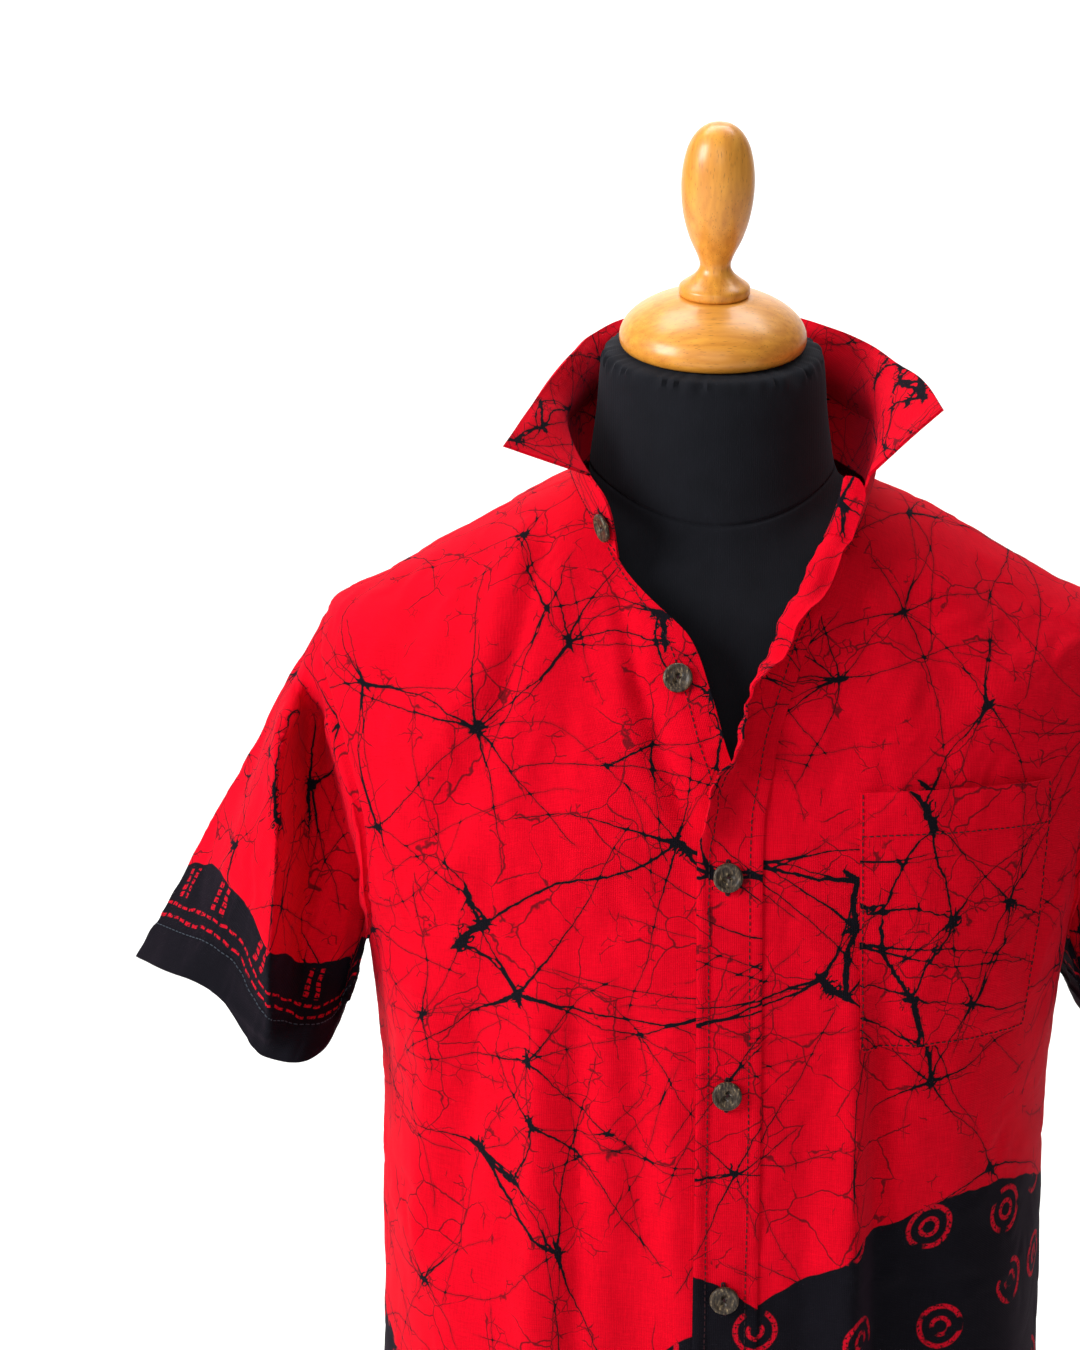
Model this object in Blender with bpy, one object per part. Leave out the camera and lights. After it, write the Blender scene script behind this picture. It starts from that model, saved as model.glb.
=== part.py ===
"""A short-sleeved batik shirt worn by a limbless counter-top dress form, as separate closed solids.

Frame: metres, +Z up. The shirt's front faces -Y and the wearer's right is -X. The origin is the middle of the
base's underside. Round the body, angle 0 is the centre front, 90 degrees the wearer's right side, 180 the
centre back and 270 (or -90) the wearer's left side. A level is the height that a ring has at the sides.
"""

import math

import bmesh
import bpy
import numpy as np
from mathutils import Matrix, Vector

# ---------------------------------------------------------------- driving dimensions (metres and degrees)
CLOTH = 0.0014                # wall of one layer of the shirt
COLLAR_CLOTH = 0.0018         # wall of the interlined collar
SEAM_GAP = 0.0003             # air between two pieces that meet
LAID_GAP = 0.0007             # air under a piece that lies on a curved panel
HEM_LEVEL = 0.150
UNDERARM_LEVEL = 0.598
SHOULDER_TIP_LEVEL = 0.779
NECKLINE_LEVEL = 0.846
ARMHOLE_REACH = 27.0          # how far the armhole reaches round the front and the back, from the side
STAND_HEIGHT = 0.030
FOOT_GAP = 0.0006             # air between the stand and the neckline, measured up the stand
STAND_END_ANGLE = 43.5        # the stand's front end on the button side
LEAF_END_ANGLE = 54.0         # where the leaf starts, behind the stand's ends
PLACKET_WIDTH = 0.030
PLACKET_OVER_PANEL = 0.002    # how far the placket lies on the panel that carries it
POCKET_WIDTH = 0.100
POCKET_TOP = 0.703
POCKET_HEIGHT = 0.126
POCKET_INNER_X = 0.0615
BUTTON_RADIUS = 0.0073
BUTTON_THICKNESS = 0.0026
BUTTON_SIDES = 14
V_BUTTON_ANGLE = 11.5         # the button that shows on the bare right front, inside the V
V_BUTTON_LEVEL = 0.8243
PLACKET_BUTTON_HEIGHTS = (0.664, 0.558, 0.452, 0.346, 0.240)
POLE_RADIUS = 0.016
BASE_RADIUS = 0.150
BASE_HEIGHT = 0.024
SQUARENESS = 0.09             # how much fuller than an ellipse the shirt's rings are between their axes

# One row for each ring of the shirt, from hem to neckline. side_width is the half width at the side seams and
# armholes, and face_width the half width that the middle of the front and back follow.
#    level  side_width face_width front_depth back_depth front_z  back_z
SHIRT_RINGS = (
    (0.150, 0.1870, 0.1870, 0.1400, 0.1350, 0.144, 0.142),
    (0.250, 0.1850, 0.1850, 0.1400, 0.1290, 0.247, 0.246),
    (0.350, 0.1820, 0.1820, 0.1410, 0.1230, 0.348, 0.348),
    (0.430, 0.1800, 0.1800, 0.1430, 0.1190, 0.427, 0.429),
    (0.510, 0.1800, 0.1810, 0.1450, 0.1210, 0.504, 0.509),
    (0.598, 0.1870, 0.1890, 0.1430, 0.1280, 0.584, 0.597),
    (0.650, 0.2000, 0.1950, 0.1390, 0.1330, 0.622, 0.648),
    (0.710, 0.2140, 0.1960, 0.1330, 0.1330, 0.662, 0.705),
    (0.750, 0.2160, 0.1880, 0.1280, 0.1290, 0.688, 0.742),
    (0.779, 0.2060, 0.1740, 0.1230, 0.1220, 0.708, 0.769),
    (0.795, 0.1780, 0.1600, 0.1190, 0.1130, 0.722, 0.791),
    (0.815, 0.1420, 0.1360, 0.1130, 0.0990, 0.744, 0.819),
    (0.832, 0.1110, 0.1110, 0.1080, 0.0860, 0.764, 0.845),
    (0.846, 0.0770, 0.0770, 0.1060, 0.0750, 0.782, 0.868),
)

# Soft folds, as straight ridges (height > 0) or troughs (height < 0) seen from the front or the back.
#    face     x1      z1      x2      z2    half_width height
SHIRT_FOLDS = (
    ("front", -0.088, 0.822, -0.128, 0.720, 0.0170, 0.0045),
    ("front", -0.056, 0.800, -0.096, 0.690, 0.0160, -0.0030),
    ("front", -0.140, 0.690, -0.150, 0.560, 0.0220, 0.0030),
    ("front", -0.112, 0.650, -0.116, 0.450, 0.0240, -0.0045),
    ("front", -0.048, 0.520, -0.052, 0.150, 0.0190, -0.0055),
    ("front", -0.084, 0.470, -0.088, 0.150, 0.0190, 0.0045),
    ("front", -0.142, 0.470, -0.148, 0.150, 0.0220, 0.0050),
    ("front", 0.056, 0.520, 0.060, 0.150, 0.0180, 0.0050),
    ("front", 0.096, 0.500, 0.100, 0.150, 0.0200, -0.0055),
    ("front", 0.142, 0.480, 0.144, 0.150, 0.0210, 0.0050),
    ("front", 0.098, 0.812, 0.150, 0.735, 0.0160, 0.0030),
    ("back", 0.000, 0.600, -0.006, 0.150, 0.0240, 0.0050),
    ("back", -0.050, 0.520, -0.056, 0.150, 0.0200, -0.0050),
    ("back", 0.056, 0.560, 0.056, 0.150, 0.0200, -0.0055),
    ("back", -0.102, 0.560, -0.112, 0.150, 0.0220, 0.0055),
    ("back", 0.104, 0.500, 0.114, 0.150, 0.0220, 0.0050),
    ("back", -0.090, 0.800, -0.150, 0.690, 0.0200, 0.0030),
    ("back", 0.086, 0.800, 0.148, 0.700, 0.0200, 0.0030),
)

# The two front edges: level is the row's at the side, edge_level the same row's at the opening. The wearer's
# right edge runs under the placket below the V, and the left one carries the placket.
#    level   x       edge_level
RIGHT_EDGE = (
    (0.150, 0.0080, 0.1500),
    (0.700, 0.0080, 0.7000),
    (0.750, 0.0060, 0.7530),
    (0.779, 0.0005, 0.7860),
    (0.790, -0.0045, 0.8010),
    (0.801, -0.0080, 0.8130),
    (0.812, -0.0120, 0.8240),
    (0.822, -0.0165, 0.8345),
    (0.831, -0.0230, 0.8415),
    (0.839, -0.0360, 0.8448),
    (0.846, -0.0556, 0.8460),
)
LEFT_EDGE = (
    (0.150, 0.0118, 0.1500),
    (0.700, 0.0118, 0.7000),
    (0.750, 0.0128, 0.7520),
    (0.779, 0.0170, 0.7840),
    (0.790, 0.0194, 0.7980),
    (0.801, 0.0240, 0.8110),
    (0.812, 0.0292, 0.8235),
    (0.822, 0.0345, 0.8335),
    (0.831, 0.0412, 0.8405),
    (0.839, 0.0490, 0.8442),
    (0.846, 0.0570, 0.8460),
)

# How far the placket is rolled outward: flat where the front is buttoned, right round at the neck. fold_at is the
# share of its width where the roll turns.
#    level  degrees fold_at
PLACKET_ROLL = (
    (0.150, 0.0, 0.50),
    (0.715, 0.0, 0.50),
    (0.745, 14.0, 0.50),
    (0.770, 50.0, 0.52),
    (0.785, 92.0, 0.54),
    (0.800, 138.0, 0.56),
    (0.820, 166.0, 0.57),
    (0.846, 170.0, 0.56),
)

# The sleeve's hem on the wearer's right, from the shoulder side round the front, underarm and back.
#    turn    x        y       z
SLEEVE_HEM = (
    (0.0, -0.3150, 0.0050, 0.5820),
    (30.0, -0.2860, -0.0300, 0.5820),
    (52.0, -0.2630, -0.0450, 0.5750),
    (72.0, -0.2480, -0.0630, 0.5600),
    (88.0, -0.2370, -0.0750, 0.5530),
    (105.0, -0.2205, -0.0760, 0.5500),
    (125.0, -0.2085, -0.0600, 0.5510),
    (150.0, -0.2025, -0.0350, 0.5560),
    (180.0, -0.1995, 0.0000, 0.5590),
    (210.0, -0.2020, 0.0360, 0.5580),
    (240.0, -0.2140, 0.0640, 0.5560),
    (270.0, -0.2400, 0.0780, 0.5580),
    (300.0, -0.2700, 0.0660, 0.5670),
    (330.0, -0.3000, 0.0390, 0.5760),
)

# The collar leaf's outer edge on each side, from the front point to the centre back.
#    x        y        z
LEAF_EDGE_RIGHT = (
    (-0.1120, -0.0900, 0.8690),
    (-0.1040, -0.0520, 0.8870),
    (-0.0950, -0.0200, 0.8985),
    (-0.0840, 0.0100, 0.9090),
    (-0.0700, 0.0420, 0.9190),
    (-0.0430, 0.0760, 0.9270),
    (0.0000, 0.0930, 0.9310),
)
LEAF_EDGE_LEFT = (
    (0.1020, -0.0920, 0.8800),
    (0.0985, -0.0540, 0.8950),
    (0.0900, -0.0200, 0.9055),
    (0.0800, 0.0130, 0.9140),
    (0.0650, 0.0440, 0.9215),
    (0.0410, 0.0770, 0.9280),
    (0.0000, 0.0930, 0.9310),
)

# The dress form's torso and neck. The height of a ring goes from level + slant at the back to
# level - slant - front_dip at the front.
#    level  half_width front_depth back_depth slant front_dip
FORM_RINGS = (
    (0.2250, 0.1550, 0.1070, 0.1050, 0.0000, 0.000),
    (0.2380, 0.1610, 0.1130, 0.1100, 0.0000, 0.000),
    (0.3200, 0.1620, 0.1150, 0.1100, 0.0000, 0.000),
    (0.4000, 0.1540, 0.1100, 0.0990, 0.0000, 0.000),
    (0.4600, 0.1520, 0.1120, 0.0960, 0.0000, 0.000),
    (0.5400, 0.1590, 0.1190, 0.1040, 0.0000, 0.004),
    (0.6200, 0.1660, 0.1230, 0.1120, 0.0000, 0.014),
    (0.6900, 0.1710, 0.1180, 0.1150, 0.0000, 0.034),
    (0.7400, 0.1750, 0.1100, 0.1110, 0.0000, 0.050),
    (0.7720, 0.1765, 0.1050, 0.1040, 0.0000, 0.062),
    (0.7880, 0.1730, 0.1000, 0.0960, 0.0005, 0.064),
    (0.7970, 0.1640, 0.0960, 0.0880, 0.0010, 0.062),
    (0.8126, 0.1420, 0.0890, 0.0780, 0.0015, 0.056),
    (0.8296, 0.1110, 0.0800, 0.0680, 0.0020, 0.046),
    (0.8385, 0.0815, 0.0735, 0.0630, 0.0040, 0.036),
    (0.8490, 0.0655, 0.0680, 0.0595, 0.0070, 0.024),
    (0.8640, 0.0628, 0.0635, 0.0572, 0.0100, 0.010),
    (0.8840, 0.0602, 0.0605, 0.0568, 0.0130, 0.002),
    (0.9050, 0.0585, 0.0575, 0.0562, 0.0145, 0.000),
    (0.9125, 0.0560, 0.0550, 0.0550, 0.0145, 0.000),
    (0.9142, 0.0500, 0.0490, 0.0490, 0.0145, 0.000),
)
NECK_OFFSET_X = -0.004        # the neck stands this far to the wearer's right of the shirt's middle
NECK_BOTTOM = 0.830           # the offset fades in from here
NECK_TALL = 0.030             # over this height
NECK_TILT = math.atan2(FORM_RINGS[-1][4], FORM_RINGS[-1][2])   # forward slant of the neck's top face

# Turned profiles, as (radius, height) from the bottom up.
CAP_PROFILE = (
    (0.0440, 0.0000),
    (0.0475, 0.0012),
    (0.0488, 0.0048),
    (0.0480, 0.0095),
    (0.0450, 0.0145),
    (0.0392, 0.0195),
    (0.0305, 0.0242),
    (0.0205, 0.0275),
)
FINIAL_PROFILE = (
    (0.0165, 0.0000),
    (0.0180, 0.0018),
    (0.0168, 0.0045),
    (0.0125, 0.0080),
    (0.0090, 0.0118),
    (0.0078, 0.0156),
    (0.0092, 0.0212),
    (0.0126, 0.0300),
    (0.0154, 0.0405),
    (0.0169, 0.0525),
    (0.0166, 0.0645),
    (0.0142, 0.0757),
    (0.0100, 0.0836),
    (0.0050, 0.0876),
)
BASE_PROFILE = (
    (BASE_RADIUS - 0.004, 0.0),
    (BASE_RADIUS, 0.004),
    (BASE_RADIUS, BASE_HEIGHT - 0.009),
    (BASE_RADIUS - 0.004, BASE_HEIGHT - 0.003),
    (BASE_RADIUS - 0.014, BASE_HEIGHT),
)
POLE_PROFILE = (
    (0.0300, BASE_HEIGHT + SEAM_GAP),
    (0.0300, BASE_HEIGHT + 0.0050),
    (0.0230, BASE_HEIGHT + 0.0100),
    (POLE_RADIUS, BASE_HEIGHT + 0.0150),
    (POLE_RADIUS, 0.2020),
    (0.0230, 0.2100),
    (0.0260, 0.2160),
    (0.0260, FORM_RINGS[0][0] - SEAM_GAP),
)

# Each material: base colour (linear), roughness, metallic.
MATERIALS = {
    "batik_cotton": ((0.74, 0.006, 0.016), 0.80, 0.0),
    "coconut_shell": ((0.075, 0.055, 0.036), 0.45, 0.0),
    "black_jersey": ((0.012, 0.013, 0.018), 0.92, 0.0),
    "varnished_beech": ((0.56, 0.26, 0.065), 0.30, 0.0),
}


# ---------------------------------------------------------------- small tools
def table_columns(table, at):
    """Every other column of a table, at the values `at` of its first column: a cubic through the rows whose slope
    at a row is the harmonic mean of its two neighbours' slopes, so that it never swings past a row."""
    rows = np.array(table, float)
    x, y = rows[:, 0], rows[:, 1:]
    step = np.diff(x)
    slope = np.diff(y, axis=0) / step[:, None]
    before, after = slope[:-1], slope[1:]
    same_way = before * after > 0
    total = np.where(same_way, before + after, 1.0)
    inner = np.where(same_way, 2.0 * before * after / total, 0.0)
    tangent = np.vstack([slope[:1], inner, slope[-1:]])
    at = np.clip(np.asarray(at, float), x[0], x[-1])
    k = np.clip(np.searchsorted(x, at, side="right") - 1, 0, len(x) - 2)
    h = step[k]
    s = ((at - x[k]) / h)[..., None]
    h = h[..., None]
    found = (
        (2 * s**3 - 3 * s**2 + 1) * y[k]
        + (s**3 - 2 * s**2 + s) * h * tangent[k]
        + (3 * s**2 - 2 * s**3) * y[k + 1]
        + (s**3 - s**2) * h * tangent[k + 1]
    )
    return np.moveaxis(found, -1, 0)


def curve_through(points, at):
    """Points at shares `at` (0 to 1) of a Catmull-Rom spline through hand-set points."""
    p = np.array(points, float)
    padded = np.vstack([2 * p[0] - p[1], p, 2 * p[-1] - p[-2]])
    place = np.clip(np.asarray(at, float), 0.0, 1.0) * (len(p) - 1)
    k = np.minimum(place.astype(int), len(p) - 2)
    s = (place - k)[..., None]
    a, b, c, d = (padded[k + i] for i in range(4))
    return 0.5 * (2 * b + (c - a) * s + (2 * a - 5 * b + 4 * c - d) * s**2 + (3 * b - a - 3 * c + d) * s**3)


def unit(vectors):
    return vectors / np.maximum(np.linalg.norm(vectors, axis=-1, keepdims=True), 1e-12)


def smooth_step(x):
    x = np.clip(x, 0.0, 1.0)
    return x * x * (3 - 2 * x)


# ---------------------------------------------------------------- the shirt's surface
def plain_shirt(angle, level):
    """A point on the shirt without folds: x = -w sin(a), y = -d cos(a), both a little fuller between the axes. The
    width w goes from the side's to the face's with the fourth power of sin(a), and the height eases from the
    ring's side height to its front or back height with the square of cos(a)."""
    angle, level = np.broadcast_arrays(np.asarray(angle, float), np.asarray(level, float))
    side_width, face_width, front, back, front_z, back_z = table_columns(SHIRT_RINGS, level)
    sine, cosine = np.sin(np.radians(angle)), np.cos(np.radians(angle))
    width = face_width + (side_width - face_width) * sine**4
    depth = np.where(cosine > 0, front, back)
    end_z = np.where(cosine > 0, front_z, back_z)
    x = -width * sine * (1 + SQUARENESS * cosine**2)
    y = -depth * cosine * (1 + SQUARENESS * sine**2)
    z = level + (end_z - level) * cosine**2
    return np.stack([x, y, z], -1)


def normal_of(surface, angle, level):
    """Outward unit normals of surface(angle, level), from the cross product of its two slopes."""
    turn, rise = 0.4, 0.0006
    across = surface(angle + turn, level) - surface(angle - turn, level)
    upward = surface(angle, level + rise) - surface(angle, level - rise)
    return unit(np.cross(upward, across))


def fold_height(point):
    """Sum of the shirt's folds at points of its plain surface: each is a Gaussian ridge or trough round a line,
    which fades in at its start, and out at its end unless it runs to the hem."""
    total = np.zeros(point.shape[:-1])
    for face, x1, z1, x2, z2, half_width, height in SHIRT_FOLDS:
        line = np.array([x2 - x1, z2 - z1])
        length = np.hypot(*line)
        dx, dz = point[..., 0] - x1, point[..., 2] - z1
        along = (dx * line[0] + dz * line[1]) / length**2
        aside = (dx * line[1] - dz * line[0]) / length
        fade = smooth_step((along + 0.12) / 0.3)
        if z2 > HEM_LEVEL:
            fade = fade * smooth_step((1.12 - along) / 0.3)
        facing = smooth_step((-point[..., 1] if face == "front" else point[..., 1]) / 0.05)
        total = total + height * fade * facing * np.exp(-((aside / half_width) ** 2))
    return total


def shirt(angle, level):
    """The shirt's outer face: its plain rings, moved out or in along their normals by the folds."""
    plain = plain_shirt(angle, level)
    return plain + normal_of(plain_shirt, angle, level) * fold_height(plain)[..., None]


def edge_of(table, level):
    """Angle and level at which a front edge runs, for rows of these side levels: the angle is found by halving,
    until the ring's x is the table's."""
    x, edge_level = table_columns(table, level)
    low, high = np.full(np.shape(x), -80.0), np.full(np.shape(x), 80.0)
    for _ in range(40):
        middle = (low + high) / 2
        beyond = plain_shirt(middle, edge_level)[..., 0] < x
        high = np.where(beyond, middle, high)
        low = np.where(beyond, low, middle)
    return (low + high) / 2, edge_level


# ---------------------------------------------------------------- solids
def new_object(name, points, faces, material):
    """An object with one mesh, its faces turned outward and shaded smooth but for sharp edges."""
    mesh = bpy.data.meshes.new(name)
    mesh.from_pydata([tuple(p) for p in points], [], faces)
    work = bmesh.new()
    work.from_mesh(mesh)
    bmesh.ops.recalc_face_normals(work, faces=work.faces)
    work.to_mesh(mesh)
    work.free()
    mesh.shade_smooth()
    mesh.set_sharp_from_angle(angle=math.radians(40))
    mesh.materials.append(material)
    obj = bpy.data.objects.new(name, mesh)
    bpy.context.scene.collection.objects.link(obj)
    return obj


def wall(name, outer, inner, material, ring=False):
    """A closed wall between two grids of points, rows by columns. Both faces are split into triangles along the
    same, shorter diagonals, so that the wall keeps its thickness. A ring joins its last column to its first."""
    rows, columns = outer.shape[:2]
    index = np.arange(rows * columns).reshape(rows, columns)
    if ring:
        index = np.hstack([index, index[:, :1]])
    a, b, c, d = (corner.ravel() for corner in (index[:-1, :-1], index[:-1, 1:], index[1:, 1:], index[1:, :-1]))
    place = outer.reshape(-1, 3)
    along_ac = np.linalg.norm(place[a] - place[c], axis=1) <= np.linalg.norm(place[b] - place[d], axis=1)
    first = np.stack([a, b, np.where(along_ac, c, d)], 1)
    second = np.stack([np.where(along_ac, a, b), c, d], 1)
    face = np.concatenate([first, second])
    behind = rows * columns
    rims = [index[0], index[-1][::-1]]
    if not ring:
        rims += [index[::-1, 0], index[:, -1]]
    edges = np.concatenate([np.stack([rim[:-1], rim[1:]], 1) for rim in rims])
    sides = np.stack([edges[:, 1], edges[:, 0], edges[:, 0] + behind, edges[:, 1] + behind], 1)
    faces = face.tolist() + (face[:, ::-1] + behind).tolist() + sides.tolist()
    return new_object(name, np.concatenate([place, inner.reshape(-1, 3)]), faces, material)


def stacked(name, rings, material):
    """A solid through rings of points, bottom to top, closed by a flat face at each end."""
    rows, sides = rings.shape[:2]
    index = np.arange(rows * sides).reshape(rows, sides)
    onward = np.roll(index, -1, axis=1)
    quads = np.stack([index[:-1], onward[:-1], onward[1:], index[1:]], -1).reshape(-1, 4)
    faces = quads.tolist() + [index[0][::-1].tolist(), index[-1].tolist()]
    return new_object(name, rings.reshape(-1, 3), faces, material)


def turned(name, profile, sides, material):
    """A solid turned about +Z from (radius, height) points, bottom to top."""
    turn = np.arange(sides) * 2 * math.pi / sides
    radius, height = np.array(profile, float).T[:, :, None]
    rings = np.stack([radius * np.cos(turn), radius * np.sin(turn), height + 0 * turn], -1)
    return stacked(name, rings, material)


def stand_on(obj, place, direction):
    """Puts an object's origin at `place`, its +Z along `direction`."""
    turn = Vector((0, 0, 1)).rotation_difference(Vector(direction))
    obj.matrix_world = Matrix.Translation(Vector(place)) @ turn.to_matrix().to_4x4()


# ---------------------------------------------------------------- armholes and sleeves
ARMHOLE_STEPS = 10            # rows of a panel's grid along half an armhole
ARMHOLE_MIDDLE = (UNDERARM_LEVEL + SHOULDER_TIP_LEVEL) / 2
ARMHOLE_HALF = (SHOULDER_TIP_LEVEL - UNDERARM_LEVEL) / 2


def armhole_reach(turn):
    """Degrees from the side line to the armhole at a turn round it: 0 is the shoulder tip, 180 degrees the
    underarm. It follows the sine below the middle and its square above, so the upper half runs straighter."""
    sine = np.abs(np.sin(turn))
    return ARMHOLE_REACH * np.where(np.cos(turn) > 0, sine**2, sine)


def armhole(side):
    """Turns, points and body normals round one armhole (side 1 right, -1 left), from the shoulder tip round the
    front, underarm and back."""
    turn = np.arange(2 * ARMHOLE_STEPS) * math.pi / ARMHOLE_STEPS
    level = ARMHOLE_MIDDLE + ARMHOLE_HALF * np.cos(turn)
    angle = side * (90 - np.sign(np.sin(turn)) * armhole_reach(turn))
    return turn, shirt(angle, level), normal_of(shirt, angle, level)


def sleeve_rings(side, shares):
    """Rings of the sleeve's outer face, straight from the armhole to the hem ring, with a slack trough that
    deepens halfway, outside the front ridge, and one like it at the back."""
    turn, start, _body = armhole(side)
    table = SLEEVE_HEM + ((360.0, *SLEEVE_HEM[0][1:]),)
    hem = np.stack(table_columns(table, np.degrees(turn)), -1) * np.array([side, 1.0, 1.0])
    shares = np.asarray(shares, float)[:, None, None]
    rings = start * (1 - shares) + hem * shares
    out = unit(rings - rings.mean(axis=1, keepdims=True))
    trough = np.exp(-(((turn - math.radians(45)) / 0.40) ** 2)) * 0.006
    back_trough = np.exp(-(((turn - math.radians(300)) / 0.45) ** 2)) * 0.005
    ridge = np.exp(-(((turn - math.radians(92)) / 0.34) ** 2)) * 0.010
    swell = np.sin(math.pi * np.clip(shares, 0, 1))
    return rings + out * swell * (ridge - trough - back_trough)[None, :, None]


def grid_normals(grid, ring=False):
    """Unit normals of a grid of points, turned away from the grid's own middle. A ring wraps its columns."""
    up = np.gradient(grid, axis=0)
    across = np.roll(grid, -1, axis=1) - np.roll(grid, 1, axis=1) if ring else np.gradient(grid, axis=1)
    normals = unit(np.cross(up, across))
    from_middle = grid - grid.reshape(-1, 3).mean(axis=0)
    return normals if np.sum(normals * from_middle) > 0 else -normals


def armhole_seam(side):
    """How the two walls meet along an armhole: the direction of the body's thickness and of the sleeve's, and the
    sleeve's small shift off the body. Where the outer faces turn gently they share one mitre direction, and
    where the sleeve folds back under the arm each keeps its own normal."""
    _turn, points, body = armhole(side)
    near = sleeve_rings(side, (0.0, 0.03, 0.06))
    own = grid_normals(near, ring=True)[0]
    share = smooth_step((np.sum(body * own, axis=1, keepdims=True) + 0.1) / 0.6)
    body_direction = unit(body + share * own)
    sleeve_direction = unit(own + share * body)
    tangent = unit(np.roll(points, -1, axis=0) - np.roll(points, 1, axis=0))
    away = near[1] - near[0]
    away = away - tangent * np.sum(away * tangent, axis=1, keepdims=True)
    away = away - sleeve_direction * np.sum(away * sleeve_direction, axis=1, keepdims=True)
    shift = unit(unit(away) + (1 - share) * body) * SEAM_GAP * 1.25
    return body_direction, sleeve_direction, shift


def sleeve(name, side, material):
    outer = sleeve_rings(side, (0.0, 0.10, 0.22, 0.36, 0.50, 0.64, 0.78, 0.90, 1.0))
    _body_direction, direction, shift = armhole_seam(side)
    outer[0] += shift
    directions = grid_normals(outer, ring=True)
    directions[0] = direction
    return wall(name, outer, outer - directions * CLOTH, material, ring=True)


# ---------------------------------------------------------------- fronts and back
BODY_LEVELS = (0.150, 0.205, 0.260, 0.320, 0.380, 0.440, 0.500, 0.555)
SHOULDER_LEVELS = (0.790, 0.801, 0.812, 0.822, 0.831, 0.839, 0.846)
ARMHOLE_LEVELS = ARMHOLE_MIDDLE + ARMHOLE_HALF * np.cos(np.linspace(math.pi, 0.0, ARMHOLE_STEPS + 1))
PANEL_LEVELS = np.concatenate([BODY_LEVELS, ARMHOLE_LEVELS, SHOULDER_LEVELS])
FIRST_ARMHOLE_ROW = len(BODY_LEVELS)


def panel_reach(depth_column):
    """Degrees from the side line to a panel's outer edge, row by row: the armhole's reach, and half the seam's
    gap along the side and shoulder seams."""
    depth = table_columns(SHIRT_RINGS, PANEL_LEVELS)[depth_column]
    half_gap = np.degrees(SEAM_GAP * 0.55 / (depth * (1 + SQUARENESS)))
    turn = np.arccos(np.clip((PANEL_LEVELS - ARMHOLE_MIDDLE) / ARMHOLE_HALF, -1.0, 1.0))
    return np.maximum(armhole_reach(turn), half_gap)


def mitre_armhole(directions, side, front, column):
    """Puts the armhole seam's body directions into a panel's edge column."""
    shared = armhole_seam(side)[0]
    step = np.arange(ARMHOLE_STEPS, -1, -1)
    picked = step if front else (2 * ARMHOLE_STEPS - step) % (2 * ARMHOLE_STEPS)
    rows = np.arange(FIRST_ARMHOLE_ROW, FIRST_ARMHOLE_ROW + ARMHOLE_STEPS + 1)
    directions[rows, column] = shared[picked]


def front_panel(name, side, edge_table, columns, material):
    """A front from its edge at the opening to the side seam, armhole and shoulder seam."""
    edge, edge_level = edge_of(edge_table, PANEL_LEVELS)
    side_line = side * (90 - panel_reach(2))
    share = np.linspace(0, 1, columns)
    angle = edge[:, None] * (1 - share) + side_line[:, None] * share
    fade = (1 - share) ** 2
    level = edge_level[:, None] * fade + PANEL_LEVELS[:, None] * (1 - fade)
    outer = shirt(angle, level)
    directions = normal_of(shirt, angle, level)
    mitre_armhole(directions, side, True, columns - 1)
    return wall(name, outer, outer - directions * CLOTH, material)


def back_panel(name, columns, material):
    """The back in one piece, from side seam to side seam."""
    first = 90 + panel_reach(3)
    share = np.linspace(0, 1, columns)
    angle = first[:, None] * (1 - share) + (360 - first[:, None]) * share
    level = np.repeat(PANEL_LEVELS[:, None], columns, axis=1)
    outer = shirt(angle, level)
    directions = normal_of(shirt, angle, level)
    mitre_armhole(directions, 1, False, 0)
    mitre_armhole(directions, -1, False, columns - 1)
    return wall(name, outer, outer - directions * CLOTH, material)


# ---------------------------------------------------------------- placket
PLACKET_LEVELS = np.concatenate(
    [BODY_LEVELS, (0.600, 0.645, 0.685, 0.715, 0.735, 0.752, 0.765, 0.776), np.arange(0.784, 0.8465, 0.0062)]
)
PLACKET_LEVELS[-1] = NECKLINE_LEVEL
PLACKET_COLUMNS = 9
ROLL_SPREAD = 0.50             # share of the width over which the roll turns


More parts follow.
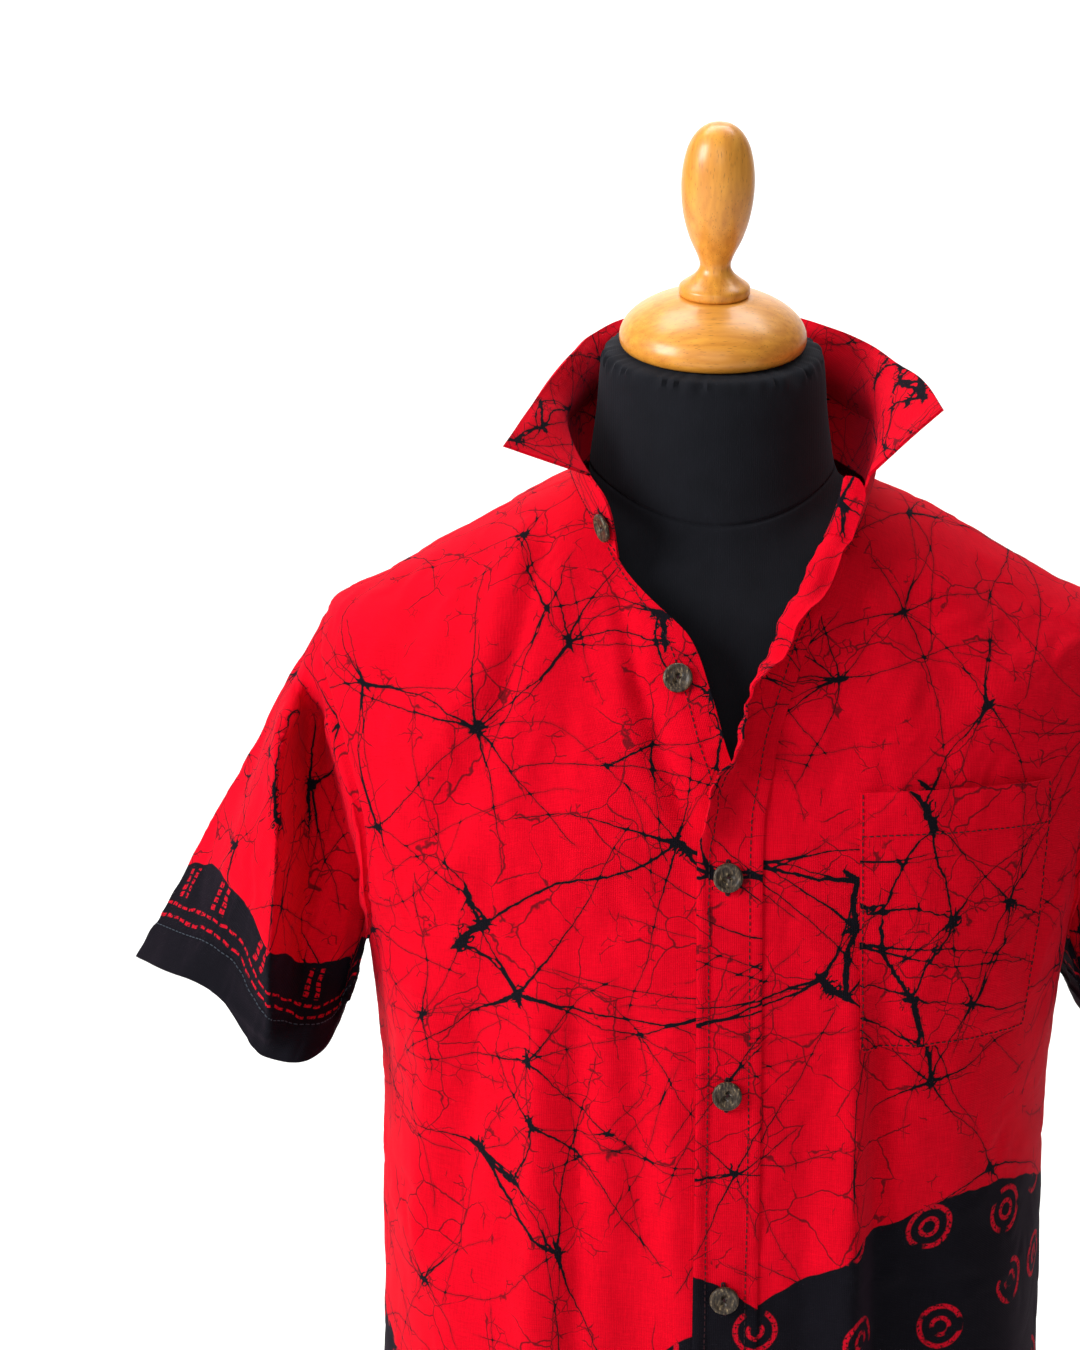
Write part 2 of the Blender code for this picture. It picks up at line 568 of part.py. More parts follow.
def placket_grid():
    """Outer points and normals of the band on the wearer's left front edge. Flat, it lies on the shirt's surface.
    Rolled, its angle grows smoothly across the middle of the band, and its free edge is slightly wavy."""
    angle, level = edge_of(LEFT_EDGE, PLACKET_LEVELS)
    edge = shirt(angle, level)
    along = unit(np.gradient(edge, axis=0))
    normal = normal_of(shirt, angle, level)
    across = unit(np.cross(normal, along))
    across = np.where(across[:, :1] > 0, -across, across)
    roll, fold_at = table_columns(PLACKET_ROLL, PLACKET_LEVELS)
    run = np.concatenate([[0], np.cumsum(np.linalg.norm(np.diff(edge, axis=0), axis=1))])
    open_share = smooth_step(roll / 90.0)
    roll = np.radians(roll + 9.0 * open_share * np.sin(2 * math.pi * run / 0.041))
    width = PLACKET_WIDTH + 0.0014 * open_share * np.sin(2 * math.pi * run / 0.029)
    lift = CLOTH + LAID_GAP
    step = (width + PLACKET_OVER_PANEL) / (PLACKET_COLUMNS - 1)
    share = np.linspace(0, 1, PLACKET_COLUMNS)
    metres_a_degree = np.linalg.norm(shirt(angle + 1, level) - edge, axis=1)
    run_across = share * (width[:, None] + PLACKET_OVER_PANEL) - PLACKET_OVER_PANEL
    flat_angle = angle[:, None] + run_across / metres_a_degree[:, None]
    flat_level = np.repeat(level[:, None], PLACKET_COLUMNS, axis=1)
    flat_normals = normal_of(shirt, flat_angle, flat_level)
    flat = shirt(flat_angle, flat_level) + flat_normals * lift
    middle = (share[1:] + share[:-1]) / 2
    bend = roll[:, None] * smooth_step((middle - fold_at[:, None]) / ROLL_SPREAD + 0.5)
    way = np.cos(bend)[..., None] * across[:, None] + np.sin(bend)[..., None] * normal[:, None]
    moved = np.cumsum(way * step[:, None, None], axis=1)
    start = edge - across * PLACKET_OVER_PANEL + normal * lift
    rolled = np.concatenate([start[:, None], start[:, None] + moved], axis=1)
    bend = roll[:, None] * smooth_step((share - fold_at[:, None]) / ROLL_SPREAD + 0.5)
    rolled_normals = np.cos(bend)[..., None] * normal[:, None] - np.sin(bend)[..., None] * across[:, None]
    mix = smooth_step(np.degrees(roll) / 30.0)[:, None, None]
    return flat * (1 - mix) + rolled * mix, unit(flat_normals * (1 - mix) + rolled_normals * mix)


def placket(name, material):
    outer, directions = placket_grid()
    return wall(name, outer, outer - directions * CLOTH, material)


# ---------------------------------------------------------------- collar
STAND_ROWS = 3


def stand_grid():
    """Outer points of the collar stand, its thickness directions, and the angles of the columns that the leaf is
    sewn to. It stands on the neckline, and its wearer's-left end goes on along the top of the rolled placket."""
    leaf_angles = np.linspace(LEAF_END_ANGLE, 360 - LEAF_END_ANGLE, 27)
    right_end = np.linspace(STAND_END_ANGLE, LEAF_END_ANGLE, 5)[:-1]
    seam_angle = 360 + edge_of(LEFT_EDGE, np.array([NECKLINE_LEVEL]))[0][0]
    left_end = np.linspace(360 - LEAF_END_ANGLE, seam_angle, 4)[1:]
    angle = np.concatenate([right_end, leaf_angles, left_end])
    base = shirt(angle, np.full(len(angle), NECKLINE_LEVEL))
    outward = unit(base * np.array([1.0, 1.0, 0.0]))
    from_back = np.abs(angle - 180.0)
    lean = np.radians(4 + 12 * smooth_step((from_back - 70) / 60))[:, None]
    rise = np.sin(lean) * outward + np.cos(lean) * np.array([0.0, 0.0, 1.0])
    thick = np.cos(lean) * outward - np.sin(lean) * np.array([0.0, 0.0, 1.0])

    band, band_normals = placket_grid()
    onward = unit((band[-1, 2:] - band[-2, 2:]).mean(axis=0))
    end_rise = unit(onward * 0.35 + rise[-1] * 0.65)
    turning = np.linspace(0, 1, len(left_end) + 1)[1:, None]
    rise[-len(left_end) :] = unit(rise[-len(left_end) :] * (1 - turning) + end_rise * turning)
    thick = unit(thick - rise * np.sum(thick * rise, axis=1, keepdims=True))
    end_base = band[-1, 2:] + onward * SEAM_GAP
    end_thick = band_normals[-1, 2:]
    across_thick = unit(end_thick - end_rise * np.sum(end_thick * end_rise, axis=1, keepdims=True))
    base = np.concatenate([base, end_base])
    rise = np.concatenate([rise, np.repeat(end_rise[None], len(end_base), axis=0)])
    at_foot = np.concatenate([thick, end_thick])
    thick = np.concatenate([thick, across_thick])

    count = len(base)
    height = np.full(count, STAND_HEIGHT)
    height[0] *= 0.72
    height[1] *= 0.90
    height[-2] *= 0.93
    height[-1] *= 0.76
    share = np.linspace(0, 1, STAND_ROWS)[:, None, None]
    outer = base + rise * (FOOT_GAP + share * (height[:, None] - FOOT_GAP))
    directions = np.concatenate([at_foot[None], np.repeat(thick[None], STAND_ROWS - 1, axis=0)])
    leaf_columns = slice(len(right_end), len(right_end) + len(leaf_angles))
    return outer, directions, rise, leaf_angles, leaf_columns


def collar_stand(name, material):
    outer, directions, _rise, _angles, _columns = stand_grid()
    return wall(name, outer, outer - directions * COLLAR_CLOTH, material)


def leaf_edge(angle):
    """The leaf's outer edge at an angle of the stand: a curve through the hand-set points on each side."""
    span = 180 - LEAF_END_ANGLE
    right = curve_through(LEAF_EDGE_RIGHT, (angle - LEAF_END_ANGLE) / span)
    left = curve_through(LEAF_EDGE_LEFT, (360 - LEAF_END_ANGLE - angle) / span)
    return np.where((angle <= 180)[..., None], right, left)


def collar_leaf(name, rows, material):
    """The leaf goes on from the stand's top edge and opens outward to its two points, slightly hollow."""
    outer_stand, stand_directions, rise, angle, columns = stand_grid()
    low = outer_stand[-1, columns] + rise[columns] * SEAM_GAP
    high = leaf_edge(angle)
    share = np.linspace(0, 1, rows)[:, None, None]
    straight = low * (1 - share) + high * share
    hollow = grid_normals(straight) * 0.005 * np.sin(np.pi * share)
    outer = straight - hollow
    directions = grid_normals(outer)
    directions[0] = stand_directions[-1, columns]
    return wall(name, outer, outer - directions * COLLAR_CLOTH, material)


# ---------------------------------------------------------------- pocket and buttons
def pocket(name, columns, rows, material):
    """A patch pocket on the wearer's left chest, made from the front's own surface, moved out."""
    share_x = np.linspace(0, 1, columns)
    height = (POCKET_TOP - POCKET_HEIGHT * np.linspace(1, 0, rows))[:, None]
    level = height + 0.04 + 0 * share_x
    start = -18.0 + 0 * level
    for _ in range(12):
        inner_edge = shirt(start, level)
        start = start + (inner_edge[..., 0] - POCKET_INNER_X) / 0.0033
        angle = start - share_x * np.degrees(POCKET_WIDTH / 0.172)
        level = level + (height - shirt(angle, level)[..., 2])
    directions = normal_of(shirt, angle, level)
    under = shirt(angle, level) + directions * LAID_GAP
    return wall(name, under + directions * CLOTH, under, material)


def button(name, place, direction, material):
    """A round button with a raised rim, lying on `place` and facing along `direction`."""
    profile = (
        (BUTTON_RADIUS * 0.84, 0.0),
        (BUTTON_RADIUS, BUTTON_THICKNESS * 0.45),
        (BUTTON_RADIUS * 0.90, BUTTON_THICKNESS),
        (BUTTON_RADIUS * 0.66, BUTTON_THICKNESS * 0.80),
    )
    obj = turned(name, profile, BUTTON_SIDES, material)
    direction = unit(np.asarray(direction, float))
    stand_on(obj, np.asarray(place, float) + direction * LAID_GAP, direction)
    return obj


def buttons(material):
    """One on the stand's wearer's-right end, one on the bare right front, and the rest down the placket."""
    stand, directions, _rise, _angles, _columns = stand_grid()
    low, high = stand[0, 1:3].mean(axis=0), stand[-1, 1:3].mean(axis=0)
    facing = unit(np.cross(high - low, stand[0, 2] - stand[0, 1]))
    facing = facing * np.sign(facing @ directions[1, 1])
    button("button_1", low * 0.6 + high * 0.4, facing, material)
    right_place = (np.array([V_BUTTON_ANGLE]), np.array([V_BUTTON_LEVEL]))
    button("button_2", shirt(*right_place)[0], normal_of(shirt, *right_place)[0], material)
    band, band_normals = placket_grid()
    middle = (PLACKET_COLUMNS - 1) / 2 + 0.2
    c, part_c = int(middle), middle % 1
    line = band[:, c] * (1 - part_c) + band[:, c + 1] * part_c
    facing = band_normals[:, c]
    for number, height in enumerate(PLACKET_BUTTON_HEIGHTS, start=3):
        k = int(np.searchsorted(line[:, 2], height)) - 1
        share = (height - line[k, 2]) / (line[k + 1, 2] - line[k, 2])
        place = line[k] * (1 - share) + line[k + 1] * share
        button(f"button_{number}", place, facing[k], material)


# ---------------------------------------------------------------- dress form
def form_torso(name, sides, material):
    """Torso and neck in one: rings of half an ellipse in front and half at the back, tilted as the table says."""
    angle = np.radians(np.arange(sides) * 360 / sides)
    rows = np.array(FORM_RINGS)[:, :, None]
    level, half_width, front, back, slant, front_dip = (rows[:, k] for k in range(6))
    cosine = np.cos(angle)
    x = -half_width * np.sin(angle) + NECK_OFFSET_X * smooth_step((level - NECK_BOTTOM) / NECK_TALL)
    y = -np.where(cosine > 0, front, back) * cosine
    z = level - slant * cosine - front_dip * np.where(cosine > 0, cosine, 0) ** 2
    return stacked(name, np.stack([x, y, z], -1), material)


def cap_and_finial(cap_name, finial_name, material):
    """Both turned on the neck's slanted axis."""
    axis = Vector((0, -math.sin(NECK_TILT), math.cos(NECK_TILT)))
    foot = Vector((NECK_OFFSET_X, 0, FORM_RINGS[-1][0])) + axis * SEAM_GAP
    cap = turned(cap_name, CAP_PROFILE, 28, material)
    stand_on(cap, foot, axis)
    finial = turned(finial_name, FINIAL_PROFILE, 20, material)
    stand_on(finial, foot + axis * (CAP_PROFILE[-1][1] + SEAM_GAP), axis)


def main():
    for old in list(bpy.data.objects):
        bpy.data.objects.remove(old)
    made = {}
    for name, (colour, roughness, metallic) in MATERIALS.items():
        material = bpy.data.materials.new(name)
        material.use_nodes = True
        shader = material.node_tree.nodes["Principled BSDF"]
        shader.inputs["Base Color"].default_value = (*colour, 1.0)
        shader.inputs["Roughness"].default_value = roughness
        shader.inputs["Metallic"].default_value = metallic
        made[name] = material
    cotton, beech = made["batik_cotton"], made["varnished_beech"]
    front_panel("shirt_front_right", 1, RIGHT_EDGE, 17, cotton)
    front_panel("shirt_front_left", -1, LEFT_EDGE, 17, cotton)
    back_panel("shirt_back", 27, cotton)
    sleeve("shirt_sleeve_right", 1, cotton)
    sleeve("shirt_sleeve_left", -1, cotton)
    collar_stand("shirt_collar_stand", cotton)
    collar_leaf("shirt_collar_leaf", 6, cotton)
    placket("shirt_placket", cotton)
    pocket("shirt_pocket", 9, 9, cotton)
    buttons(made["coconut_shell"])
    form_torso("form_torso", 28, made["black_jersey"])
    cap_and_finial("form_neck_cap", "form_finial", beech)
    turned("form_pole", POLE_PROFILE, 16, beech)
    turned("form_base", BASE_PROFILE, 36, beech)


main()
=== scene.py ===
# %% [markdown]
# # A batik shirt on a dress form
#
# The real thing is a short-sleeved cotton shirt, dyed crimson over wax that cracked, so that the second, black dye ran
# into the cracks and left a web. It hangs open at the neck on a limbless counter form covered in black jersey.
#
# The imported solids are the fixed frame. Each one is replaced here by a finer piece of the same shape: a thin shell of
# cloth, a turned piece of wood, a button with its thread. Lengths are in metres, unless a name says otherwise or
# in_metres makes them so out of a table of millimetres.

import math
from functools import partial, reduce

import bpy
import numpy as np
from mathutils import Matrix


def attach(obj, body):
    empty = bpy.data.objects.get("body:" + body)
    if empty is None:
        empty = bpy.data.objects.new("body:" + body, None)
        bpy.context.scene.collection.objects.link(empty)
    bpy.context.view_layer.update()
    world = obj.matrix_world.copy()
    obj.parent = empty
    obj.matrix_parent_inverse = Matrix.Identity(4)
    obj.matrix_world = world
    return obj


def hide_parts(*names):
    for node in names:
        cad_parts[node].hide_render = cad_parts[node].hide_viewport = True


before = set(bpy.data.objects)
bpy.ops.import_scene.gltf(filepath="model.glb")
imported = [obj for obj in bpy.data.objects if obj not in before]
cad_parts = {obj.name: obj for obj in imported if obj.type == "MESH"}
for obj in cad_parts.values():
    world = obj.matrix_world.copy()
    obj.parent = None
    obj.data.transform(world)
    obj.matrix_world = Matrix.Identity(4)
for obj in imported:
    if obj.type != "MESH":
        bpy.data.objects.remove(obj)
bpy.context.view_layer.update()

# %% [markdown]
# ## Camera, floor and light
#
# A product picture is lit softly: one large lamp to the upper left, a white room that fills the shadows, and a pale
# floor that runs up into the wall with no corner. The camera looks slightly down at the chest, as a person does who
# stands in front of the form.

# %% Camera
CAMERA_AIM = np.array([-0.094, 0.0, 0.74])
CAMERA_DISTANCE = 1.25
CAMERA_ELEVATION = math.radians(10.0)
camera_data = bpy.data.cameras.new("camera")
camera_data.lens, camera_data.sensor_width = 62.33, 36.0       # millimetres
camera = bpy.data.objects.new("camera", camera_data)
camera.location = CAMERA_AIM + CAMERA_DISTANCE * np.array([0, -math.cos(CAMERA_ELEVATION), math.sin(CAMERA_ELEVATION)])
camera.rotation_euler = (math.pi / 2 - CAMERA_ELEVATION, 0, 0)
bpy.context.scene.collection.objects.link(camera)
bpy.context.scene.camera = camera
bpy.context.scene.view_settings.view_transform = "Standard"
print("camera at", [round(x, 3) for x in camera.location])


# %% Colours and nodes
def linear(hex_colour):
    """A colour written as sRGB hex, as linear RGBA: a channel c becomes c / 12.92 up to 0.04045, and
    ((c + 0.055) / 1.055) to the power 2.4 above it."""
    srgb = np.array([int(hex_colour[k : k + 2], 16) for k in (1, 3, 5)]) / 255
    rgb = np.where(srgb <= 0.04045, srgb / 12.92, ((srgb + 0.055) / 1.055) ** 2.4)
    return (*rgb.tolist(), 1.0)


# The option that a kind of node is mostly chosen by, which follows its kind after a space.
NODE_OPTION = {
    "Math": "operation", "VectorMath": "operation", "Mix": "data_type", "MapRange": "interpolation_type",
    "TexWave": "bands_direction", "TexVoronoi": "feature", "Attribute": "attribute_name", "UVMap": "uv_map",
}
COLOUR_MIX_SOCKETS = (0, 6, 7)         # a colour mix's share and its two colours
COLOUR_MIX_OUTPUT = 2


def fill(owner, node, named):
    """Fills the options and sockets of a material's or world's node by name. A socket is joined to another node's
    output, or set to a value."""
    for name, value in named.items():
        socket = name.replace("_", " ") if isinstance(name, str) else name
        if isinstance(name, str) and socket not in node.inputs:
            setattr(node, name, value)
        elif isinstance(value, bpy.types.NodeSocket):
            owner.node_tree.links.new(value, node.inputs[socket])
        else:
            node.inputs[socket].default_value = value


def add_node(material, kind, *values, out=0, **named):
    """Adds a node of a kind, such as "TexNoise" or "Math ADD", and gives its output `out`. The values fill its
    sockets in order, and named ones by their names."""
    kind, _, option = kind.partition(" ")
    node = material.node_tree.nodes.new("ShaderNode" + kind)
    if option:
        setattr(node, NODE_OPTION[kind], option)
    places = COLOUR_MIX_SOCKETS if kind == "Mix" else range(len(values))
    fill(material, node, named | dict(zip(places, values)))
    return node.outputs[COLOUR_MIX_OUTPUT if kind == "Mix" else out]


def fill_shader(material, **sockets):
    """Fills sockets of a material's Principled shader."""
    fill(material, material.node_tree.nodes["Principled BSDF"], sockets)


def new_material(name, **sockets):
    """A material with a Principled shader, whose constant values are set on its own sockets."""
    material = bpy.data.materials.new(name)
    material.use_nodes = True
    fill_shader(material, **sockets)
    return material


# %% Meshes from grids
def quads_of(numbers):
    """The four corner numbers of every cell of a grid of numbers."""
    return np.stack([numbers[:-1, :-1], numbers[:-1, 1:], numbers[1:, 1:], numbers[1:, :-1]], -1).reshape(-1, 4)


def make_mesh(name, points, faces, material, uv=None):
    """An object at the origin with one mesh. uv holds one pair for each corner of each face."""
    mesh = bpy.data.meshes.new(name)
    mesh.from_pydata(points.tolist(), [], faces if isinstance(faces, list) else faces.tolist())
    if uv is not None:
        mesh.uv_layers.new(name="cut").data.foreach_set("uv", np.asarray(uv, np.float32).ravel())
    mesh.shade_smooth()
    mesh.set_sharp_from_angle(angle=math.radians(42))
    mesh.materials.append(material)
    piece = bpy.data.objects.new(name, mesh)
    bpy.context.scene.collection.objects.link(piece)
    return piece


def shell(name, outer, inner, uv, material, ring=False):
    """A closed thin wall between two grids of points, rows by columns, with rims. A ring joins its last column to its
    first, and its uv grid has one column more. Faces point outward: they are turned if the first way is wrong."""
    rows, columns = outer.shape[:2]
    vertex = np.arange(rows * columns).reshape(rows, columns)
    if ring:
        vertex = np.hstack([vertex, vertex[:, :1]])
    corner = np.arange(vertex.size).reshape(vertex.shape)
    behind = rows * columns
    rims = [(slice(0, 1), slice(None), 1), (slice(-1, None), slice(None), -1)]
    if not ring:
        rims += [(slice(None), slice(0, 1), -1), (slice(None), slice(-1, None), 1)]
    rim_vertex, rim_corner = [], []
    for row_part, column_part, way in rims:
        along = vertex[row_part, column_part].ravel()[::way]
        along_uv = corner[row_part, column_part].ravel()[::way]
        rim_vertex.append(np.stack([along[1:], along[:-1], along[:-1] + behind, along[1:] + behind], 1))
        rim_corner.append(np.stack([along_uv[1:], along_uv[:-1], along_uv[:-1], along_uv[1:]], 1))
    face, face_uv = quads_of(vertex), quads_of(corner)
    faces = np.concatenate([face, face[:, ::-1] + behind, *rim_vertex])
    corners = np.concatenate([face_uv, face_uv[:, ::-1], *rim_corner])
    a, b, d = (outer.reshape(-1, 3)[face[:, k]] for k in (0, 1, 3))
    facing = np.sum(np.cross(b - a, d - a) * (outer - inner).reshape(-1, 3)[face[:, 0]])
    if facing < 0:
        faces, corners = faces[:, ::-1], corners[:, ::-1]
    points = np.concatenate([outer.reshape(-1, 3), inner.reshape(-1, 3)])
    return make_mesh(name, points, faces, material, uv.reshape(-1, 2)[corners])


def tube(name, rings, material):
    """A solid through rings of points, closed by a fan at each end whose hub is the mean of the end ring."""
    rows, sides = rings.shape[:2]
    vertex = np.arange(rows * sides).reshape(rows, sides)
    vertex = np.hstack([vertex, vertex[:, :1]])
    hubs = (rows * sides, rows * sides + 1)
    faces = quads_of(vertex).tolist()
    faces += [[hubs[0], b, a] for a, b in zip(vertex[0, :-1].tolist(), vertex[0, 1:].tolist())]
    faces += [[hubs[1], a, b] for a, b in zip(vertex[-1, :-1].tolist(), vertex[-1, 1:].tolist())]
    points = np.concatenate([rings.reshape(-1, 3), rings[:1].mean(axis=1), rings[-1:].mean(axis=1)])
    return make_mesh(name, points, faces, material)


# %% Floor, backdrop and lamps
STAGE_PROFILE = (
    (-4.0, 0.0), (-2.0, 0.0), (0.0, 0.0), (2.0, 0.0), (2.6, 0.02), (3.05, 0.20), (3.35, 0.62), (3.5, 1.4), (3.5, 4.5)
)
STAGE_HALF_WIDTH = 5.0
STAGE_ROWS = 60


def unit(vectors):
    """Vectors shortened or drawn out to length 1."""
    return vectors / np.maximum(np.linalg.norm(vectors, axis=-1, keepdims=True), 1e-12)


def smooth_step(x):
    """0 below 0, 1 above 1, and an even S between: 3 x^2 - 2 x^3."""
    x = np.clip(x, 0.0, 1.0)
    return x * x * (3 - 2 * x)


def step_from(x, start, over):
    """A smooth step that begins at a start and takes so much of x to reach 1."""
    return smooth_step((x - start) / over)


def bell(x):
    """1 at 0 and nearly 0 beyond 2 and -2: exp(-x^2)."""
    return np.exp(-(x**2))


def places(origin, axes, x, y, z):
    """Points at x, y and z along three axes from an origin."""
    return origin + sum(np.asarray(way)[..., None] * axis for way, axis in zip((x, y, z), axes))


def curve_through(points, at):
    """Points at shares `at` (0 to 1) of a Catmull-Rom spline through given points."""
    p = np.array(points, float)
    padded = np.vstack([2 * p[0] - p[1], p, 2 * p[-1] - p[-2]])
    place = np.clip(np.asarray(at, float), 0.0, 1.0) * (len(p) - 1)
    k = np.minimum(place.astype(int), len(p) - 2)
    s = (place - k)[..., None]
    a, b, c, d = (padded[k + i] for i in range(4))
    return 0.5 * (2 * b + (c - a) * s + (2 * a - 5 * b + 4 * c - d) * s**2 + (3 * b - a - 3 * c + d) * s**3)


paper = new_material("white_backdrop_paper", Roughness=0.9, Base_Color=linear("#F4F4F3"))
sweep = curve_through(STAGE_PROFILE, np.linspace(0, 1, STAGE_ROWS))
across = np.tile([-STAGE_HALF_WIDTH, STAGE_HALF_WIDTH], STAGE_ROWS)
stage_points = np.column_stack([across, np.repeat(sweep, 2, axis=0)])
stage_faces = quads_of(np.arange(2 * STAGE_ROWS).reshape(STAGE_ROWS, 2))
floor = make_mesh("floor_and_backdrop", stage_points, stage_faces, paper)

#    name, where it stands, what it points at, width, watts
LAMPS = (
    ("key", (-2.52, -1.38, 1.84), (-0.05, 0.0, 0.70), 1.4, 103.0),
    ("front_fill", (-0.20, -2.80, 1.50), (0.0, 0.0, 0.65), 1.8, 15.5),
    ("wall", (0.0, 0.90, 3.40), (0.0, 3.30, 0.90), 2.6, 150.0),
)
for name, place, aim, width, watts in LAMPS:
    lamp_data = bpy.data.lights.new(name, "AREA")
    lamp_data.size, lamp_data.energy = width, watts
    lamp = bpy.data.objects.new(name, lamp_data)
    lamp.location = place
    toward = np.subtract(aim, place)
    lamp.rotation_euler = (math.acos(-toward[2] / np.linalg.norm(toward)), 0, math.atan2(-toward[0], toward[1]))
    bpy.context.scene.collection.objects.link(lamp)
room = bpy.data.worlds.new("white_room")
room.use_nodes = True
fill(room, room.node_tree.nodes["Background"], {"Color": (1.0, 1.0, 1.0, 1.0), "Strength": 0.11})
bpy.context.scene.world = room
print("lamps:", [row[0] for row in LAMPS])

# %% [markdown]
# ## The shirt's surface
#
# A worn shirt is a flexible tube round a body. It could be simulated, but its main folds have to stand where the
# solids have them. So it is worked out: every ring has a half width and two depths from a table, and a point of the
# cloth is a function of two numbers, the angle round the body and the level of its ring. Angle 0 is the centre front,
# 90 degrees the wearer's right side, 180 the centre back. Folds and creases are then added along the surface's
# normals, each a soft ridge or trough round a given line.

# %% Sizes of the cloth
def in_metres(rows, columns=slice(None)):
    """A table whose numbers are millimetres, in all columns or in those given, as an array in metres."""
    table = np.array(rows, float)
    table[:, columns] /= 1000
    return table


CLOTH = 0.0006                # what one layer of shirting is drawn as
DOUBLE_CLOTH = 0.0011         # placket and pocket hem, two layers
COLLAR_CLOTH = 0.0016         # two layers and the interlining
UNDERARM_LEVEL = 0.598
SHOULDER_TIP_LEVEL = 0.779
NECKLINE_LEVEL = 0.846
HEM_LEVEL = 0.150
ARMHOLE_REACH = 27.0          # degrees round the body, from the side line to an armhole's front or back
SQUARENESS = 0.09             # how much fuller than an ellipse the rings are between their axes
SEAM_GAP = 0.0003             # between two pieces that are sewn together
SLIT = 0.000015               # between two panels, along the seam that joins them

#    level, side_width, face_width, front_depth, back_depth, front_z, back_z
SHIRT_RINGS = in_metres((
    (150, 187, 187, 140, 135, 144, 142), (250, 185, 185, 140, 129, 247, 246), (350, 182, 182, 141, 123, 348, 348),
    (430, 180, 180, 143, 119, 427, 429), (510, 180, 181, 145, 121, 504, 509), (598, 187, 189, 143, 128, 584, 597),
    (650, 200, 195, 139, 133, 622, 648), (710, 214, 196, 133, 133, 662, 705), (750, 216, 188, 128, 129, 688, 742),
    (779, 206, 174, 123, 122, 708, 769), (795, 178, 160, 119, 113, 722, 791), (815, 142, 136, 113, 99, 744, 819),
    (832, 111, 111, 108, 86, 764, 845), (846, 77, 77, 106, 75, 782, 868),
))

# The large folds, which the solids have too: 1 for the front or -1 for the back, x1, z1, x2, z2, half width, height.
# Height is along the normal, below 0 for a trough.
SHIRT_FOLDS = in_metres((
    (1, -88, 822, -128, 720, 17, 4.5), (1, -56, 800, -96, 690, 16, -3), (1, -140, 690, -150, 560, 22, 3),
    (1, -112, 650, -116, 450, 24, -4.5), (1, -48, 520, -52, 150, 19, -5.5), (1, -84, 470, -88, 150, 19, 4.5),
    (1, -142, 470, -148, 150, 22, 5), (1, 56, 520, 60, 150, 18, 5), (1, 96, 500, 100, 150, 20, -5.5),
    (1, 142, 480, 144, 150, 21, 5), (1, 98, 812, 150, 735, 16, 3), (-1, 0, 600, -6, 150, 24, 5),
    (-1, -50, 520, -56, 150, 20, -5), (-1, 56, 560, 56, 150, 20, -5.5), (-1, -102, 560, -112, 150, 22, 5.5),
    (-1, 104, 500, 114, 150, 22, 5), (-1, -90, 800, -150, 690, 20, 3), (-1, 86, 800, 148, 700, 20, 3),
), slice(1, 7))

# The small creases, which only this cloth has, in the same columns.
SHIRT_CREASES = in_metres((
    (1, -88, 828, -115, 738, 7, -5), (1, -101, 830, -129, 745, 9, 2.4), (1, -111, 752, -150, 664, 12, -6),
    (1, -130, 752, -166, 680, 11, 2.2), (1, -57, 806, -44, 742, 5.5, -3.8), (1, -45, 758, -22, 684, 6.5, -4.2),
    (1, -64, 800, -50, 720, 8, 1.6), (1, -18, 664, -90, 622, 15, -2.4), (1, -24, 690, -80, 664, 10, 1.6),
    (1, -76, 606, -77, 300, 9, -6.6), (1, -96, 610, -100, 400, 11, 5.2), (1, -50, 606, -44, 480, 8.5, -4),
    (1, -30, 600, -28, 460, 7, 1.8), (1, -128, 596, -144, 450, 11, -7), (1, -150, 600, -158, 440, 9, 3.6),
    (1, 59, 612, 60, 300, 8.5, 5), (1, 74, 612, 77, 320, 9.5, -6.6), (1, 36, 560, 38, 400, 8, -1.6),
    (1, 115, 560, 118, 380, 12, 2.4), (1, -172, 640, -128, 664, 8, 1.8), (1, -174, 622, -140, 630, 7, -1.6),
    (1, -178, 600, -150, 596, 8, 1.5), (1, -180, 625, -179, 500, 5, -2.6), (1, -150, 790, -178, 735, 10, -2.2),
    (1, -134, 796, -156, 750, 9, 1.4), (1, 40, 780, 64, 716, 8, -1.8), (1, 88, 800, 115, 742, 9, -2),
    (1, 66, 800, 92, 730, 9, 1.6), (1, 172, 650, 156, 590, 8, 1.8), (1, -100, 420, -106, 330, 8, -1.4),
    (-1, -165, 650, -115, 610, 9, 1.8), (-1, 166, 640, 124, 596, 9, 1.6), (-1, -170, 610, -130, 560, 8, -1.6),
    (-1, 170, 606, 136, 552, 8, -1.6), (-1, -24, 480, -30, 340, 9, 1.5), (-1, 80, 460, 84, 330, 9, 1.5),
    (-1, -78, 440, -82, 300, 9, -1.5), (-1, 30, 800, 52, 760, 10, 1.2), (-1, -36, 806, -60, 762, 10, 1.2),
), slice(1, 7))


